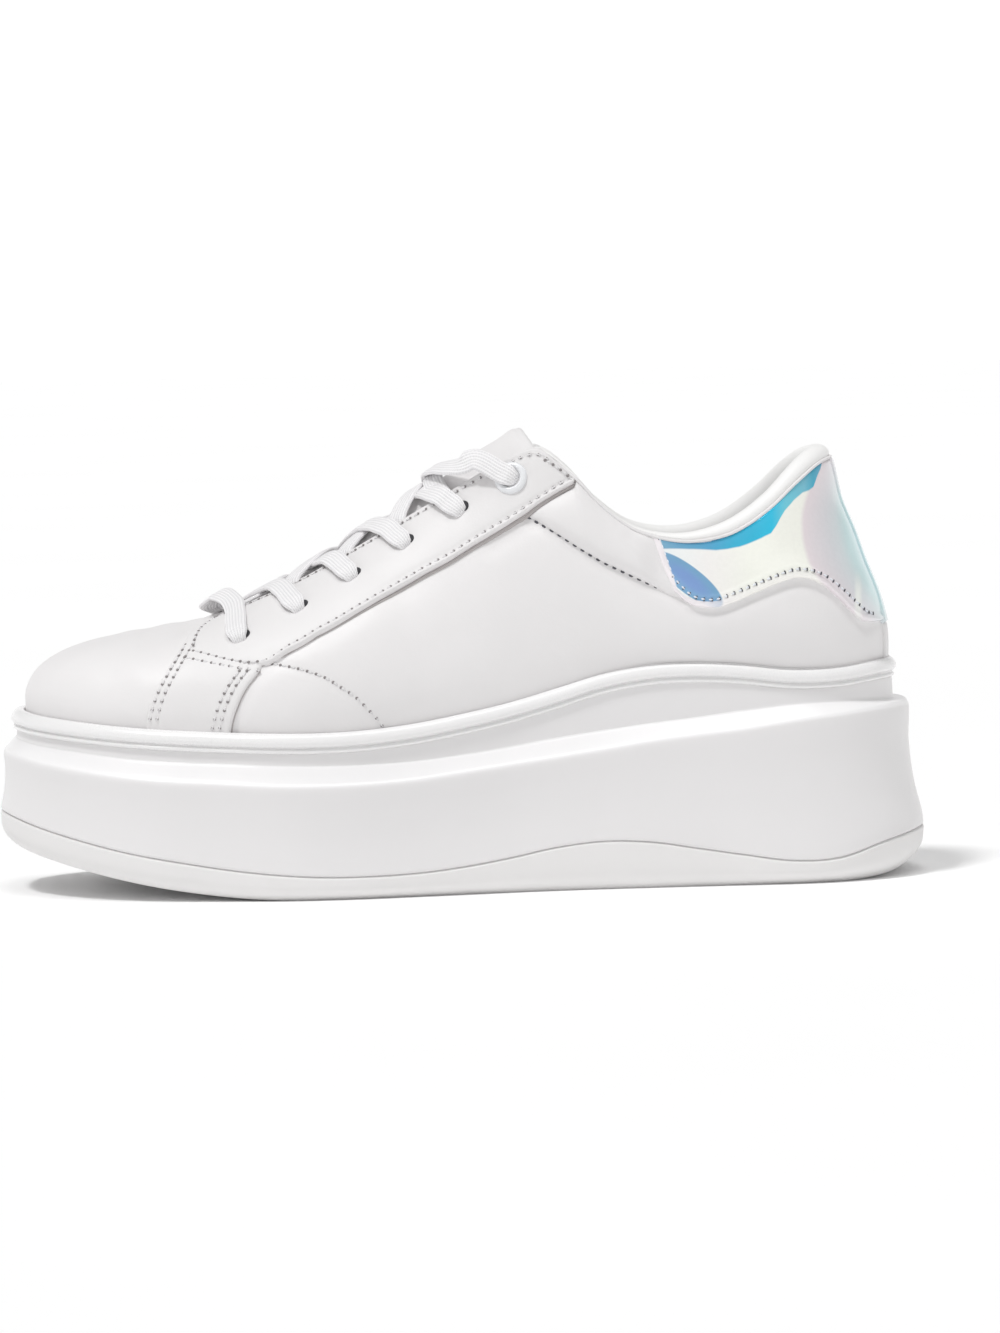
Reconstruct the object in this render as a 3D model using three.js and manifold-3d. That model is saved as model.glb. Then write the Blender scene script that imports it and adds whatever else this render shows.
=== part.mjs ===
// Platform sneaker, left shoe, built as the real one is put together.
// Millimetres. +X towards the toe, +Y towards the outer (lateral) side, +Z up.
// While it is worked out, x runs from the back of the heel (0) to the toe; the
// finished group is then moved so that its box stands centred on the origin.
import * as THREE from 'three';
import { mergeVertices } from 'three/addons/utils/BufferGeometryUtils.js';
import Module from 'manifold-3d';

// ---- driving dimensions ----
const GAP = 0.3;              // between pieces that touch
const WALL = 2.2;             // upper: outer leather, foam and lining
const OVERLAY = 1.1;          // leather of the overlays
const OVERLAY_GAP = 0.5;      // under them, where the leather bends
const BEAD_HEIGHT = 5.8;      // rolled rail round the foot of the upper
const BEAD_OUT = 4.2;
const BAND_OUT = 3.5;         // recessed band under the rail
const EDGE_OUT = 7.0;         // shoulder of the platform
const FOOT_OUT = 8.0;         // widest part, just over the ground
const HEEL_FLARE = 2.6;       // how much wider the heel gets towards the ground
const HEEL_RIM = 0.72;        // the rims are narrower round the heel
const LUG_DEPTH = 2.2;
const INSOLE_THICK = 4.0;
const TONGUE_THICK = 4.0;
const LACE_WIDE = 7.0;
const LACE_THICK = 1.6;
const EYELET = { hole: 2.8, flange: 5.0, high: 1.2 };
const ROUND_STEPS = 72;       // steps round the shoe
const RISE_STEPS = 10;        // steps from the sole up to the top edge

// ---- sole: one row per station, heights over the ground ----
// bead: top of the rail, ledge and edge: upper and lower line of the shoulder,
// parting: between midsole and outsole, ground: underside
const SOLE = [
  { x: -8, bead: 64.6, ledge: 52.3, edge: 50.9, parting: 14.0, ground: 4.6 },
  { x: 6, bead: 65.0, ledge: 52.8, edge: 50.7, parting: 11.5, ground: 1.2 },
  { x: 20, bead: 63.7, ledge: 53.1, edge: 49.5, parting: 7.6, ground: 0 },
  { x: 34, bead: 63.8, ledge: 52.6, edge: 48.1, parting: 7.2, ground: 0 },
  { x: 48, bead: 65.5, ledge: 51.1, edge: 46.2, parting: 9.2, ground: 0 },
  { x: 62, bead: 66.4, ledge: 49.5, edge: 44.8, parting: 11.5, ground: 0 },
  { x: 76, bead: 66.0, ledge: 48.1, edge: 43.3, parting: 13.8, ground: 0 },
  { x: 90, bead: 63.7, ledge: 46.4, edge: 41.3, parting: 14.5, ground: 0 },
  { x: 104, bead: 59.7, ledge: 44.5, edge: 39.4, parting: 13.2, ground: 0 },
  { x: 118, bead: 56.0, ledge: 42.4, edge: 37.6, parting: 10.6, ground: 0 },
  { x: 132, bead: 53.2, ledge: 40.7, edge: 35.9, parting: 8.5, ground: 0 },
  { x: 146, bead: 50.9, ledge: 39.4, edge: 34.3, parting: 7.2, ground: 0 },
  { x: 160, bead: 49.5, ledge: 38.9, edge: 33.5, parting: 6.8, ground: 0 },
  { x: 174, bead: 49.0, ledge: 38.8, edge: 33.3, parting: 7.0, ground: 0 },
  { x: 188, bead: 49.2, ledge: 39.2, edge: 33.6, parting: 8.0, ground: 0.2 },
  { x: 202, bead: 49.7, ledge: 39.9, edge: 34.4, parting: 9.6, ground: 1.2 },
  { x: 216, bead: 50.4, ledge: 40.5, edge: 35.1, parting: 11.8, ground: 3.0 },
  { x: 230, bead: 51.3, ledge: 41.4, edge: 36.2, parting: 14.2, ground: 5.4 },
  { x: 244, bead: 52.5, ledge: 43.0, edge: 37.9, parting: 17.3, ground: 8.4 },
  { x: 258, bead: 53.9, ledge: 44.5, edge: 40.1, parting: 20.8, ground: 11.8 },
  { x: 272, bead: 56.0, ledge: 46.6, edge: 42.7, parting: 24.4, ground: 15.4 },
];

// ---- last: one row per section, from the toe back to the heel ----
// x, outer and inner: foot line of the upper. topX, topZ and half: the top edge
// that the section runs up to, half its opening wide. form: which profile it has.
const LAST = [
  { x: 264, outer: -9, inner: -9, topX: 206, topZ: 81.4, half: 0, form: 0 },
  { x: 262.4, outer: 3, inner: -20, topX: 205.8, topZ: 81.2, half: 3.5, form: 0 },
  { x: 255.5, outer: 15, inner: -29.5, topX: 205.3, topZ: 80.8, half: 7, form: 0 },
  { x: 241.5, outer: 27, inner: -38, topX: 203.5, topZ: 80.6, half: 10, form: 0.25 },
  { x: 223, outer: 35.5, inner: -42.2, topX: 198.5, topZ: 83.0, half: 11.6, form: 0.55 },
  { x: 204, outer: 39.5, inner: -43, topX: 189, topZ: 87.2, half: 12, form: 0.8 },
  { x: 186, outer: 42.5, inner: -40.5, topX: 176, topZ: 93.2, half: 12.5, form: 1 },
  { x: 168, outer: 42.5, inner: -36, topX: 160, topZ: 102.2, half: 13.5, form: 1.3 },
  { x: 150, outer: 40, inner: -31.5, topX: 144, topZ: 111.6, half: 15, form: 1.65 },
  { x: 132, outer: 37, inner: -28, topX: 129, topZ: 120.5, half: 17, form: 2 },
  { x: 117, outer: 34.5, inner: -26.5, topX: 116, topZ: 127.8, half: 19.5, form: 2.2 },
  { x: 104, outer: 33, inner: -26.5, topX: 106.5, topZ: 130.6, half: 21.5, form: 2.45 },
  { x: 92, outer: 32, inner: -27.5, topX: 97.5, topZ: 124.3, half: 24, form: 2.7 },
  { x: 80, outer: 31.5, inner: -28.5, topX: 89, topZ: 114.8, half: 26, form: 2.9 },
  { x: 68, outer: 31, inner: -29.5, topX: 78.5, topZ: 107.2, half: 27.8, form: 3 },
  { x: 55, outer: 30.5, inner: -30, topX: 65.5, topZ: 105.0, half: 28.8, form: 3 },
  { x: 42, outer: 30, inner: -30, topX: 52.5, topZ: 108.0, half: 28.3, form: 3 },
  { x: 29, outer: 28.5, inner: -28.8, topX: 41, topZ: 115.2, half: 26.8, form: 3.1 },
  { x: 18, outer: 25, inner: -25.5, topX: 32, topZ: 123.2, half: 22.5, form: 3.4 },
  { x: 9, outer: 18.5, inner: -19, topX: 25.5, topZ: 128.2, half: 15.5, form: 3.75 },
  { x: 4, outer: 10, inner: -10.5, topX: 21.5, topZ: 129.8, half: 8, form: 4 },
  { x: 2.5, outer: 0, inner: 0, topX: 20.5, topZ: 130.0, half: 0, form: 4 },
];

// Side profiles of the upper at equal steps from the foot line to the top edge.
// rise: share of the height, lean: share of the way in, swell: mm pushed outwards
const FORMS = [
  { // toe
    rise: [0, 0.20, 0.38, 0.54, 0.67, 0.77, 0.85, 0.925, 1],
    lean: [0, 0, 0.015, 0.07, 0.17, 0.31, 0.50, 0.74, 1],
    swell: [0, 0, 0, 0, 0, 0, 0, 0, 0],
  },
  { // ball
    rise: [0, 0.14, 0.30, 0.45, 0.60, 0.73, 0.84, 0.93, 1],
    lean: [0, 0, 0.01, 0.06, 0.18, 0.36, 0.57, 0.79, 1],
    swell: [0, 1.3, 1.6, 1.2, 0.5, 0.1, 0, 0, 0],
  },
  { // instep
    rise: [0, 0.13, 0.27, 0.40, 0.53, 0.66, 0.78, 0.89, 1],
    lean: [0, 0, 0.02, 0.09, 0.20, 0.36, 0.55, 0.77, 1],
    swell: [0, 1.0, 1.2, 0.8, 0.3, 0, 0, 0, 0],
  },
  { // collar
    rise: [0, 0.125, 0.25, 0.375, 0.5, 0.625, 0.75, 0.875, 1],
    lean: [0, 0, 0.05, 0.15, 0.30, 0.48, 0.66, 0.84, 1],
    swell: [0, 1.2, 2.2, 2.6, 2.4, 1.8, 1.1, 0.4, 0],
  },
  { // heel
    rise: [0, 0.125, 0.25, 0.375, 0.5, 0.625, 0.75, 0.875, 1],
    lean: [0, 0, 0.045, 0.155, 0.33, 0.50, 0.70, 0.845, 1],
    swell: [0, 0.3, 0.3, 0.2, 0, 0, 0, 0, 0],
  },
];

// middle of the throat, seen from above: it swings inwards towards the toe
const MIDDLE = [
  { x: 0, y: 0 }, { x: 90, y: 0 }, { x: 130, y: -1.5 }, { x: 200, y: -4 }, { x: 264, y: -9 },
];

// tongue, from under the vamp up to its free end. row: section of the last that it
// crosses, ahead and down: moved from there, crown: how far its middle stands up,
// under: how far it reaches under the facings, as a share of the section
const TONGUE = [
  { row: 3.3, ahead: 9, down: 2.2, crown: 0.3, under: 0.10 },
  { row: 3.3, ahead: 4, down: 1.1, crown: 0.3, under: 0.12 },
  { row: 3.9, ahead: 0, down: 0.2, crown: 1.2, under: 0.14 },
  { row: 4.8, ahead: 0, down: 0, crown: 2.4, under: 0.14 },
  { row: 6, ahead: 0, down: 0, crown: 3.2, under: 0.14 },
  { row: 7, ahead: 0, down: 0, crown: 3.8, under: 0.14 },
  { row: 8, ahead: 0, down: 0, crown: 4.6, under: 0.14 },
  { row: 9, ahead: 0, down: 0, crown: 5.6, under: 0.14 },
  { row: 10, ahead: 0, down: 0, crown: 6.8, under: 0.13 },
  { row: 10.8, ahead: 0, down: 0, crown: 7.6, under: 0.09 },
];

// lower edge of the eyestay and of the heel tab, seen from the side
const EYESTAY_LOW = [
  { x: 222, z: 74.6 }, { x: 212.5, z: 73.4 }, { x: 195, z: 69.6 }, { x: 183, z: 72.6 }, { x: 159, z: 84.8 },
  { x: 134, z: 98.0 }, { x: 115, z: 109.1 }, { x: 96, z: 120.2 }, { x: 90, z: 124 },
];
const TAB_LOW = [
  { x: -10, z: 76.2 }, { x: 7, z: 76.2 }, { x: 12, z: 77.8 }, { x: 20, z: 85.4 },
  { x: 30, z: 90.6 }, { x: 42, z: 87.2 }, { x: 52, z: 83.4 }, { x: 60, z: 82.4 },
  { x: 67, z: 85.6 }, { x: 72, z: 91 }, { x: 74.5, z: 102 },
];
const TAB_TOP_STEP = 4.5;     // of the collar's rolled edge shows over the tab

// eyelets, seen from the side, the lowest first
const EYELETS = [
  { x: 197, z: 76.2 }, { x: 179.5, z: 84.4 }, { x: 163.5, z: 93.4 },
  { x: 147.5, z: 102.8 }, { x: 131, z: 112.4 }, { x: 115, z: 121.6 },
];

// ---- small maths ----
const mix = (a, b, t) => a + (b - a) * t;
const clamp01 = (t) => Math.min(1, Math.max(0, t));
const ease = (a, b, x) => {
  const t = clamp01((x - a) / (b - a));
  return t * t * (3 - 2 * t);
};

// smooth curve through four equally spaced values
function smooth4(p0, p1, p2, p3, t) {
  const m1 = (p2 - p0) / 2;
  const m2 = (p3 - p1) / 2;
  const t2 = t * t;
  const t3 = t2 * t;
  return (2 * t3 - 3 * t2 + 1) * p1 + (t3 - 2 * t2 + t) * m1
    + (3 * t2 - 2 * t3) * p2 + (t3 - t2) * m2;
}

// column of a table at a fractional row; a closed table runs on from its end
function atRow(rows, column, t, closed = false) {
  const n = rows.length;
  const i = Math.floor(t);
  const pick = (k) => rows[closed ? ((k % n) + n) % n : Math.min(n - 1, Math.max(0, k))][column];
  return smooth4(pick(i - 1), pick(i), pick(i + 1), pick(i + 2), t - i);
}

// column of a table against its x, straight between rows
function atX(rows, column, x) {
  const up = rows[0].x < rows[rows.length - 1].x;
  const list = up ? rows : [...rows].reverse();
  if (x <= list[0].x) return list[0][column];
  for (let i = 1; i < list.length; i += 1) {
    if (x <= list[i].x) {
      const t = (x - list[i - 1].x) / (list[i].x - list[i - 1].x);
      return mix(list[i - 1][column], list[i][column], t);
    }
  }
  return list[list.length - 1][column];
}

// the sole's stations are equally far apart, so its columns are read smoothly
const SOLE_STEP = SOLE[1].x - SOLE[0].x;
function soleAt(column, x) {
  const t = Math.min(SOLE.length - 1, Math.max(0, (x - SOLE[0].x) / SOLE_STEP));
  return atRow(SOLE, column, t);
}

const groundAt = (x) => Math.max(0, soleAt('ground', x));

// ---- the last's surface ----
// round: 0 at the toe, on along the outer side, half way at the heel, back inside
const sideRow = (row, side) => ({
  x: row.x,
  y: side > 0 ? row.outer : row.inner,
  topX: row.topX,
  topY: atX(MIDDLE, 'y', row.topX) + side * row.half,
  topZ: row.topZ,
  form: row.form,
});
const LOOP = [
  ...LAST.map((row) => sideRow(row, 1)),
  ...LAST.slice(1, -1).reverse().map((row) => sideRow(row, -1)),
];
const loopAt = (column, round) => atRow(LOOP, column, round * LOOP.length, true);

function footPoint(round) {
  return new THREE.Vector2(loopAt('x', round), loopAt('y', round));
}
function footNormal(round) {
  const step = 1e-3;
  const d = footPoint(round + step).sub(footPoint(round - step));
  return new THREE.Vector2(-d.y, d.x).normalize().negate();
}
// a point of the foot line moved outwards
function offsetPoint(round, out) {
  return footPoint(round).addScaledVector(footNormal(round), out);
}

function profile(form, column, up) {
  const t = up * 8;
  const last = FORMS.length - 1;
  const kind = Math.min(last, Math.max(0, form));
  const k = Math.min(last - 1, Math.floor(kind));
  const read = (f) => {
    const list = FORMS[f][column];
    const i = Math.min(7, Math.floor(t));
    const pick = (j) => (j < 0 ? 2 * list[0] - list[1] : j > 8 ? 2 * list[8] - list[7] : list[j]);
    return smooth4(pick(i - 1), pick(i), pick(i + 1), pick(i + 2), t - i);
  };
  return mix(read(k), read(k + 1), kind - k);
}

const footHeight = (x) => soleAt('bead', x) - BEAD_HEIGHT;
const SEAT = 0.4;             // the upper and the rail start this much over footHeight

// point of the upper's outer face, up: 0 at the foot line, 1 at the top edge
function lastPoint(round, up) {
  const foot = footPoint(round);
  const out = footNormal(round);
  const form = loopAt('form', round);
  const lean = profile(form, 'lean', up);
  const rise = profile(form, 'rise', up);
  const swell = profile(form, 'swell', up);
  const base = footHeight(foot.x) + SEAT;
  return new THREE.Vector3(
    mix(foot.x, loopAt('topX', round), lean) + out.x * swell,
    mix(foot.y, loopAt('topY', round), lean) + out.y * swell,
    mix(base, loopAt('topZ', round), rise),
  );
}
function lastNormal(round, up) {
  const a = 2e-3;
  const b = 1e-2;
  const lo = Math.max(0, up - b);
  const hi = Math.min(1, up + b);
  const along = lastPoint(round + a, up).sub(lastPoint(round - a, up));
  const rise = lastPoint(round, hi).sub(lastPoint(round, lo));
  return along.cross(rise).normalize();
}
function shellPoint(round, up, out) {
  return lastPoint(round, up).addScaledVector(lastNormal(round, up), out);
}

// how far up a section passes a line drawn on the side
function upAtLine(round, line, offset = 0) {
  const steps = 200;
  for (let i = steps; i > 0; i -= 1) {
    const p = lastPoint(round, i / steps);
    if (p.z < atX(line, 'z', p.x) + offset) return i / steps;
  }
  return 0;
}
// point beside the shell at a height, out from its face
function shellAtHeight(round, z, out) {
  let low = 0;
  let high = 1;
  for (let i = 0; i < 24; i += 1) {
    const half = (low + high) / 2;
    if (lastPoint(round, half).z < z) low = half;
    else high = half;
  }
  const p = shellPoint(round, low, out);
  p.z = z;
  return p;
}
// place on the shell of a point given by the side view
function findOnSide(side, x, z) {
  let best = null;
  for (let i = 0; i <= 240; i += 1) {
    const half = (i / 240) * 0.5;
    const round = side > 0 ? half : 1 - half;
    for (let j = 30; j <= 100; j += 1) {
      const p = lastPoint(round, j / 100);
      const miss = Math.hypot(p.x - x, p.z - z);
      if (!best || miss < best.miss) best = { round, up: j / 100, miss };
    }
  }
  return best;
}

// ---- solids from grids ----
// rows[i][j] are points; every row is closed in j, and closed in i when ringed,
// otherwise the first and last row are capped by strips between matching points.
// tips: 1 where point 0 is a tip of its own, 0 where it faces the last point
function solidFromRings(rows, { ringed = false, tips = 0 } = {}) {
  const points = [];
  const faces = [];
  const n = rows[0].length;
  rows.forEach((row) => row.forEach((p) => points.push(p.x, p.y, p.z)));
  const id = (i, j) => (i % rows.length) * n + (j % n);
  const last = ringed ? rows.length : rows.length - 1;
  for (let i = 0; i < last; i += 1) {
    for (let j = 0; j < n; j += 1) {
      faces.push(id(i, j), id(i, j + 1), id(i + 1, j + 1));
      faces.push(id(i, j), id(i + 1, j + 1), id(i + 1, j));
    }
  }
  const cap = (i, turned) => {
    for (let j = 0; j < n / 2 - 1 + tips; j += 1) {
      const a = id(i, j);
      const b = id(i, j + 1);
      const c = id(i, n - 2 - j + tips);
      const d = id(i, n - 1 - j + tips);
      if (a !== d) faces.push(b, ...(turned ? [d, a] : [a, d]));
      if (b !== c) faces.push(b, ...(turned ? [c, d] : [d, c]));
    }
  };
  if (!ringed) {
    cap(0, false);
    cap(rows.length - 1, true);
  }
  return geometryOf(points, faces);
}

// the geometry, turned the right way out
function geometryOf(points, faces) {
  let volume = 0;
  const v = (k) => new THREE.Vector3(points[3 * k], points[3 * k + 1], points[3 * k + 2]);
  for (let f = 0; f < faces.length; f += 3) {
    volume += v(faces[f]).dot(v(faces[f + 1]).cross(v(faces[f + 2])));
  }
  const index = [];
  for (let f = 0; f < faces.length; f += 3) {
    const [a, b, c] = [faces[f], faces[f + 1], faces[f + 2]];
    index.push(a, ...(volume > 0 ? [b, c] : [c, b]));
  }
  const geometry = new THREE.BufferGeometry();
  geometry.setAttribute('position', new THREE.Float32BufferAttribute(points, 3));
  geometry.setIndex(index);
  return geometry;
}

// closed sheet with thickness: inner(i, j) and outer(i, j) over a grid
function sheetSolid(wide, tall, outer, inner) {
  const rows = [];
  for (let i = 0; i <= wide; i += 1) {
    const row = [];
    for (let j = 0; j <= tall; j += 1) row.push(outer(i / wide, j / tall));
    for (let j = tall; j >= 0; j -= 1) row.push(inner(i / wide, j / tall));
    rows.push(row);
  }
  return solidFromRings(rows);
}

// ---- joining and cutting ----
const wasm = await Module();
wasm.setup();
function toSolid(geometry) {
  const clean = geometry.clone();
  clean.deleteAttribute('normal');
  clean.deleteAttribute('uv');
  const merged = mergeVertices(clean, 1e-4);
  return new wasm.Manifold(new wasm.Mesh({
    numProp: 3,
    vertProperties: new Float32Array(merged.attributes.position.array),
    triVerts: new Uint32Array(merged.index.array),
  }));
}
function toGeometry(solid) {
  const mesh = solid.getMesh();
  const points = [];
  for (let i = 0; i < mesh.vertProperties.length; i += mesh.numProp) {
    points.push(mesh.vertProperties[i], mesh.vertProperties[i + 1], mesh.vertProperties[i + 2]);
  }
  const geometry = new THREE.BufferGeometry();
  geometry.setAttribute('position', new THREE.Float32BufferAttribute(points, 3));
  geometry.setIndex([...mesh.triVerts]);
  return geometry;
}

// ---- sole unit ----
const rim = (x) => mix(HEEL_RIM, 1, ease(20, 160, x));
const flare = (x) => HEEL_FLARE * (1 - ease(-8, 62, x));
// one ring round the sole: out(x) beyond the foot line, height(x) over the ground
function soleRing(out, height) {
  const ring = [];
  for (let j = 0; j < ROUND_STEPS; j += 1) {
    const round = j / ROUND_STEPS;
    const x = footPoint(round).x;
    const p = offsetPoint(round, out(x));
    ring.push(new THREE.Vector3(p.x, p.y, height(p.x)));
  }
  return ring;
}
const wallHeight = (share) => (x) => mix(soleAt('edge', x), soleAt('parting', x), share);

function midsole() {
  return solidFromRings([
    soleRing((x) => BAND_OUT * rim(x) - 0.3, (x) => footHeight(x) - GAP),
    soleRing((x) => BAND_OUT * rim(x), (x) => soleAt('ledge', x) + 1.0),
    soleRing((x) => BAND_OUT * rim(x) + 0.7, (x) => soleAt('ledge', x)),
    soleRing(() => EDGE_OUT - 1.1, (x) => soleAt('edge', x) + 1.0),
    soleRing(() => EDGE_OUT - 0.3, (x) => soleAt('edge', x) - 1.0),
    soleRing(() => EDGE_OUT - 0.5, wallHeight(0.3)),
    soleRing((x) => EDGE_OUT - 0.2 + 0.4 * flare(x), wallHeight(0.62)),
    soleRing((x) => FOOT_OUT - 0.2 + flare(x), wallHeight(0.9)),
    soleRing((x) => FOOT_OUT + flare(x), (x) => soleAt('parting', x) + 1.0),
    soleRing((x) => FOOT_OUT - 0.9 + flare(x), (x) => soleAt('parting', x) + GAP / 2),
  ], { tips: 1 });
}

// rounded bars across the tread, cut up into the underside inside a plain rim
const TREAD_BARS = [
  { from: 12, to: 66, pitch: 10.5 },
  { from: 122, to: 250, pitch: 10.5 },
];
function outsole() {
  const drop = (share) => (x) => mix(soleAt('parting', x), groundAt(x), share);
  const body = toSolid(solidFromRings([
    soleRing((x) => FOOT_OUT - 0.9 + flare(x), (x) => soleAt('parting', x) - GAP / 2),
    soleRing((x) => FOOT_OUT + 0.1 + flare(x), (x) => soleAt('parting', x) - 1.0),
    soleRing((x) => FOOT_OUT - 0.2 + 0.9 * flare(x), drop(0.6)),
    soleRing((x) => FOOT_OUT - 1.8 + 0.7 * flare(x), drop(0.86)),
    soleRing((x) => FOOT_OUT - 4.2 + 0.4 * flare(x), groundAt),
  ], { tips: 1 }));
  const field = toSolid(solidFromRings([
    soleRing(() => -6, () => -4),
    soleRing(() => -6, (x) => groundAt(x) + LUG_DEPTH),
  ], { tips: 1 }));
  let bars = null;
  TREAD_BARS.forEach(({ from, to, pitch }) => {
    for (let x = from; x < to; x += pitch) {
      const bar = new THREE.BoxGeometry(pitch * 0.42, 120, 60);
      bar.translate(x, 0, 10);
      const solid = toSolid(bar);
      bars = bars ? bars.add(solid) : solid;
    }
  });
  return toGeometry(body.subtract(field.intersect(bars)));
}

// rolled rail round the foot of the upper: its inner face follows the leather
function rail() {
  const rings = [];
  for (let j = 0; j < ROUND_STEPS; j += 1) {
    const round = j / ROUND_STEPS;
    const x = footPoint(round).x;
    const wide = BEAD_OUT * rim(x);
    const height = (share) => footHeight(x) + SEAT + share * (BEAD_HEIGHT - SEAT);
    const inner = (share, out) => shellAtHeight(round, height(share), GAP + out);
    const outer = (out, share) => {
      const p = offsetPoint(round, out);
      return new THREE.Vector3(p.x, p.y, height(share));
    };
    rings.push([
      inner(0, 0),
      outer(wide - 0.8, 0),
      outer(wide, 0.3),
      outer(wide, 0.62),
      outer(wide - 1.0, 0.93),
      inner(1, 0.9),
      inner(0.8, 0),
      inner(0.4, 0),
    ]);
  }
  return solidFromRings(rings, { ringed: true });
}

// ---- upper ----
function upper() {
  const rings = [];
  for (let j = 0; j < ROUND_STEPS; j += 1) {
    const round = j / ROUND_STEPS;
    const ring = [];
    for (let i = 0; i <= RISE_STEPS; i += 1) ring.push(shellPoint(round, i / RISE_STEPS, 0));
    for (let i = RISE_STEPS; i >= 0; i -= 1) ring.push(shellPoint(round, i / RISE_STEPS, -WALL));
    ring.forEach((p, i) => {
      if (i === ring.length - 1) p.z = ring[0].z;
    });
    rings.push(ring);
  }
  return solidFromRings(rings, { ringed: true });
}

function insole() {
  const inset = -(WALL + 1.2);
  const dish = (x) => 1.6 * (1 - ease(20, 90, x));
  const floor = (x) => footHeight(x);
  return solidFromRings([
    soleRing(() => inset, floor),
    soleRing(() => inset, (x) => floor(x) + INSOLE_THICK - 0.8 + dish(x)),
    soleRing(() => inset - 1.2, (x) => floor(x) + INSOLE_THICK + dish(x)),
    soleRing(() => inset - 9, (x) => floor(x) + INSOLE_THICK - 0.4),
  ], { tips: 1 });
}

// ---- tongue ----
const TONGUE_UNDER = WALL + 0.6;         // from the upper's face down to the tongue
const UPWARDS = new THREE.Vector3(0.5, 0, 0.87);   // square to the throat
// middle of the throat at a section, raised over its edges
function throatMiddle(row, raised) {
  const round = row / LOOP.length;
  const edge = (r) => shellPoint(r, 1, -TONGUE_UNDER);
  return edge(round).lerp(edge(1 - round), 0.5).addScaledVector(UPWARDS, raised);
}
// control points across the tongue at a row of its table, depth below its top face
function tongueKnots(row, depth) {
  const round = row.row / LOOP.length;
  const out = -(TONGUE_UNDER + depth);
  const ups = [1 - row.under, 1 - row.under / 2, 1];
  const knots = [
    ...ups.map((up) => shellPoint(round, up, out)),
    throatMiddle(row.row, row.crown - depth),
    ...ups.reverse().map((up) => shellPoint(1 - round, up, out)),
  ];
  knots.forEach((p) => p.set(p.x + row.ahead, p.y, p.z - row.down));
  return knots;
}
function tonguePoint(along, across, depth) {
  const t = along * (TONGUE.length - 1);
  const i = Math.min(TONGUE.length - 2, Math.floor(t));
  const row = {};
  Object.keys(TONGUE[0]).forEach((key) => {
    row[key] = mix(TONGUE[i][key], TONGUE[i + 1][key], t - i);
  });
  return new THREE.CatmullRomCurve3(tongueKnots(row, depth)).getPoint(across);
}
function tongue() {
  const thick = (t, s) => TONGUE_THICK * (0.6 + 0.4 * t) * (0.5 + 0.5 * Math.sin(Math.PI * s));
  return sheetSolid(
    15,
    8,
    (t, s) => tonguePoint(t, s, 0),
    (t, s) => tonguePoint(t, s, thick(t, s)),
  );
}

// ---- overlays, cut between two larger forms of the last ----
// from(s) and to(s): rows of the last at the ends, s from the lower to the top edge
function overlay({ from, to, wide, tall, low, high, side = 1 }) {
  const edge = (s) => {
    const near = Math.min(s, 1 - s);
    return OVERLAY_GAP + OVERLAY * (0.35 + 0.65 * ease(0, 0.12, near));
  };
  const place = (t, s, out) => {
    const row = mix(from(s), to(s), t) / LOOP.length;
    const round = side > 0 ? row : 1 - row;
    return shellPoint(round, mix(low(round), high(round), s), out);
  };
  return sheetSolid(wide, tall, (t, s) => place(t, s, edge(s)), (t, s) => place(t, s, OVERLAY_GAP));
}
// the eyestay's front edge slants from its lower corner to the foot of the throat
const EYESTAY_FRONT = { low: 4.1, high: 3.2 };
const EYESTAY_BACK = 12.2;
function eyestay(side) {
  return overlay({
    from: (s) => mix(EYESTAY_FRONT.low, EYESTAY_FRONT.high, s),
    to: () => EYESTAY_BACK,
    wide: 18,
    tall: 5,
    low: (round) => upAtLine(round, EYESTAY_LOW),
    high: () => 0.985,
    side,
  });
}
const HEEL_ROW = LAST.length - 1;
const TAB_ROWS = 7;           // rows of the last on either side of the heel
function heelTab() {
  const top = (round) => {
    const high = loopAt('topZ', round) - footHeight(loopAt('x', round));
    return 1 - TAB_TOP_STEP / high;
  };
  return overlay({
    from: () => HEEL_ROW - TAB_ROWS,
    to: () => HEEL_ROW + TAB_ROWS,
    wide: 24,
    tall: 5,
    low: (round) => upAtLine(round, TAB_LOW),
    high: top,
  });
}

// ---- eyelets and lacing ----
// place on an eyestay's face for a hole, with the face's direction
function holeFrame(side, k, out) {
  const spot = findOnSide(side, EYELETS[k].x, EYELETS[k].z);
  const normal = lastNormal(spot.round, spot.up);
  return { point: shellPoint(spot.round, spot.up, OVERLAY_GAP + OVERLAY + out), normal, spot };
}
function ringEyelet(side) {
  const { point, normal } = holeFrame(side, EYELETS.length - 1, GAP);
  const { hole, flange, high } = EYELET;
  const section = [
    new THREE.Vector2(hole, 0), new THREE.Vector2(flange, 0), new THREE.Vector2(flange, high * 0.4),
    new THREE.Vector2(flange - 0.8, high), new THREE.Vector2(hole + 0.8, high),
    new THREE.Vector2(hole, high * 0.5), new THREE.Vector2(hole, 0),
  ];
  const geometry = new THREE.LatheGeometry(section, 16);
  geometry.applyQuaternion(new THREE.Quaternion().setFromUnitVectors(
    new THREE.Vector3(0, 1, 0),
    normal,
  ));
  geometry.translate(point.x, point.y, point.z);
  return geometry;
}

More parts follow.
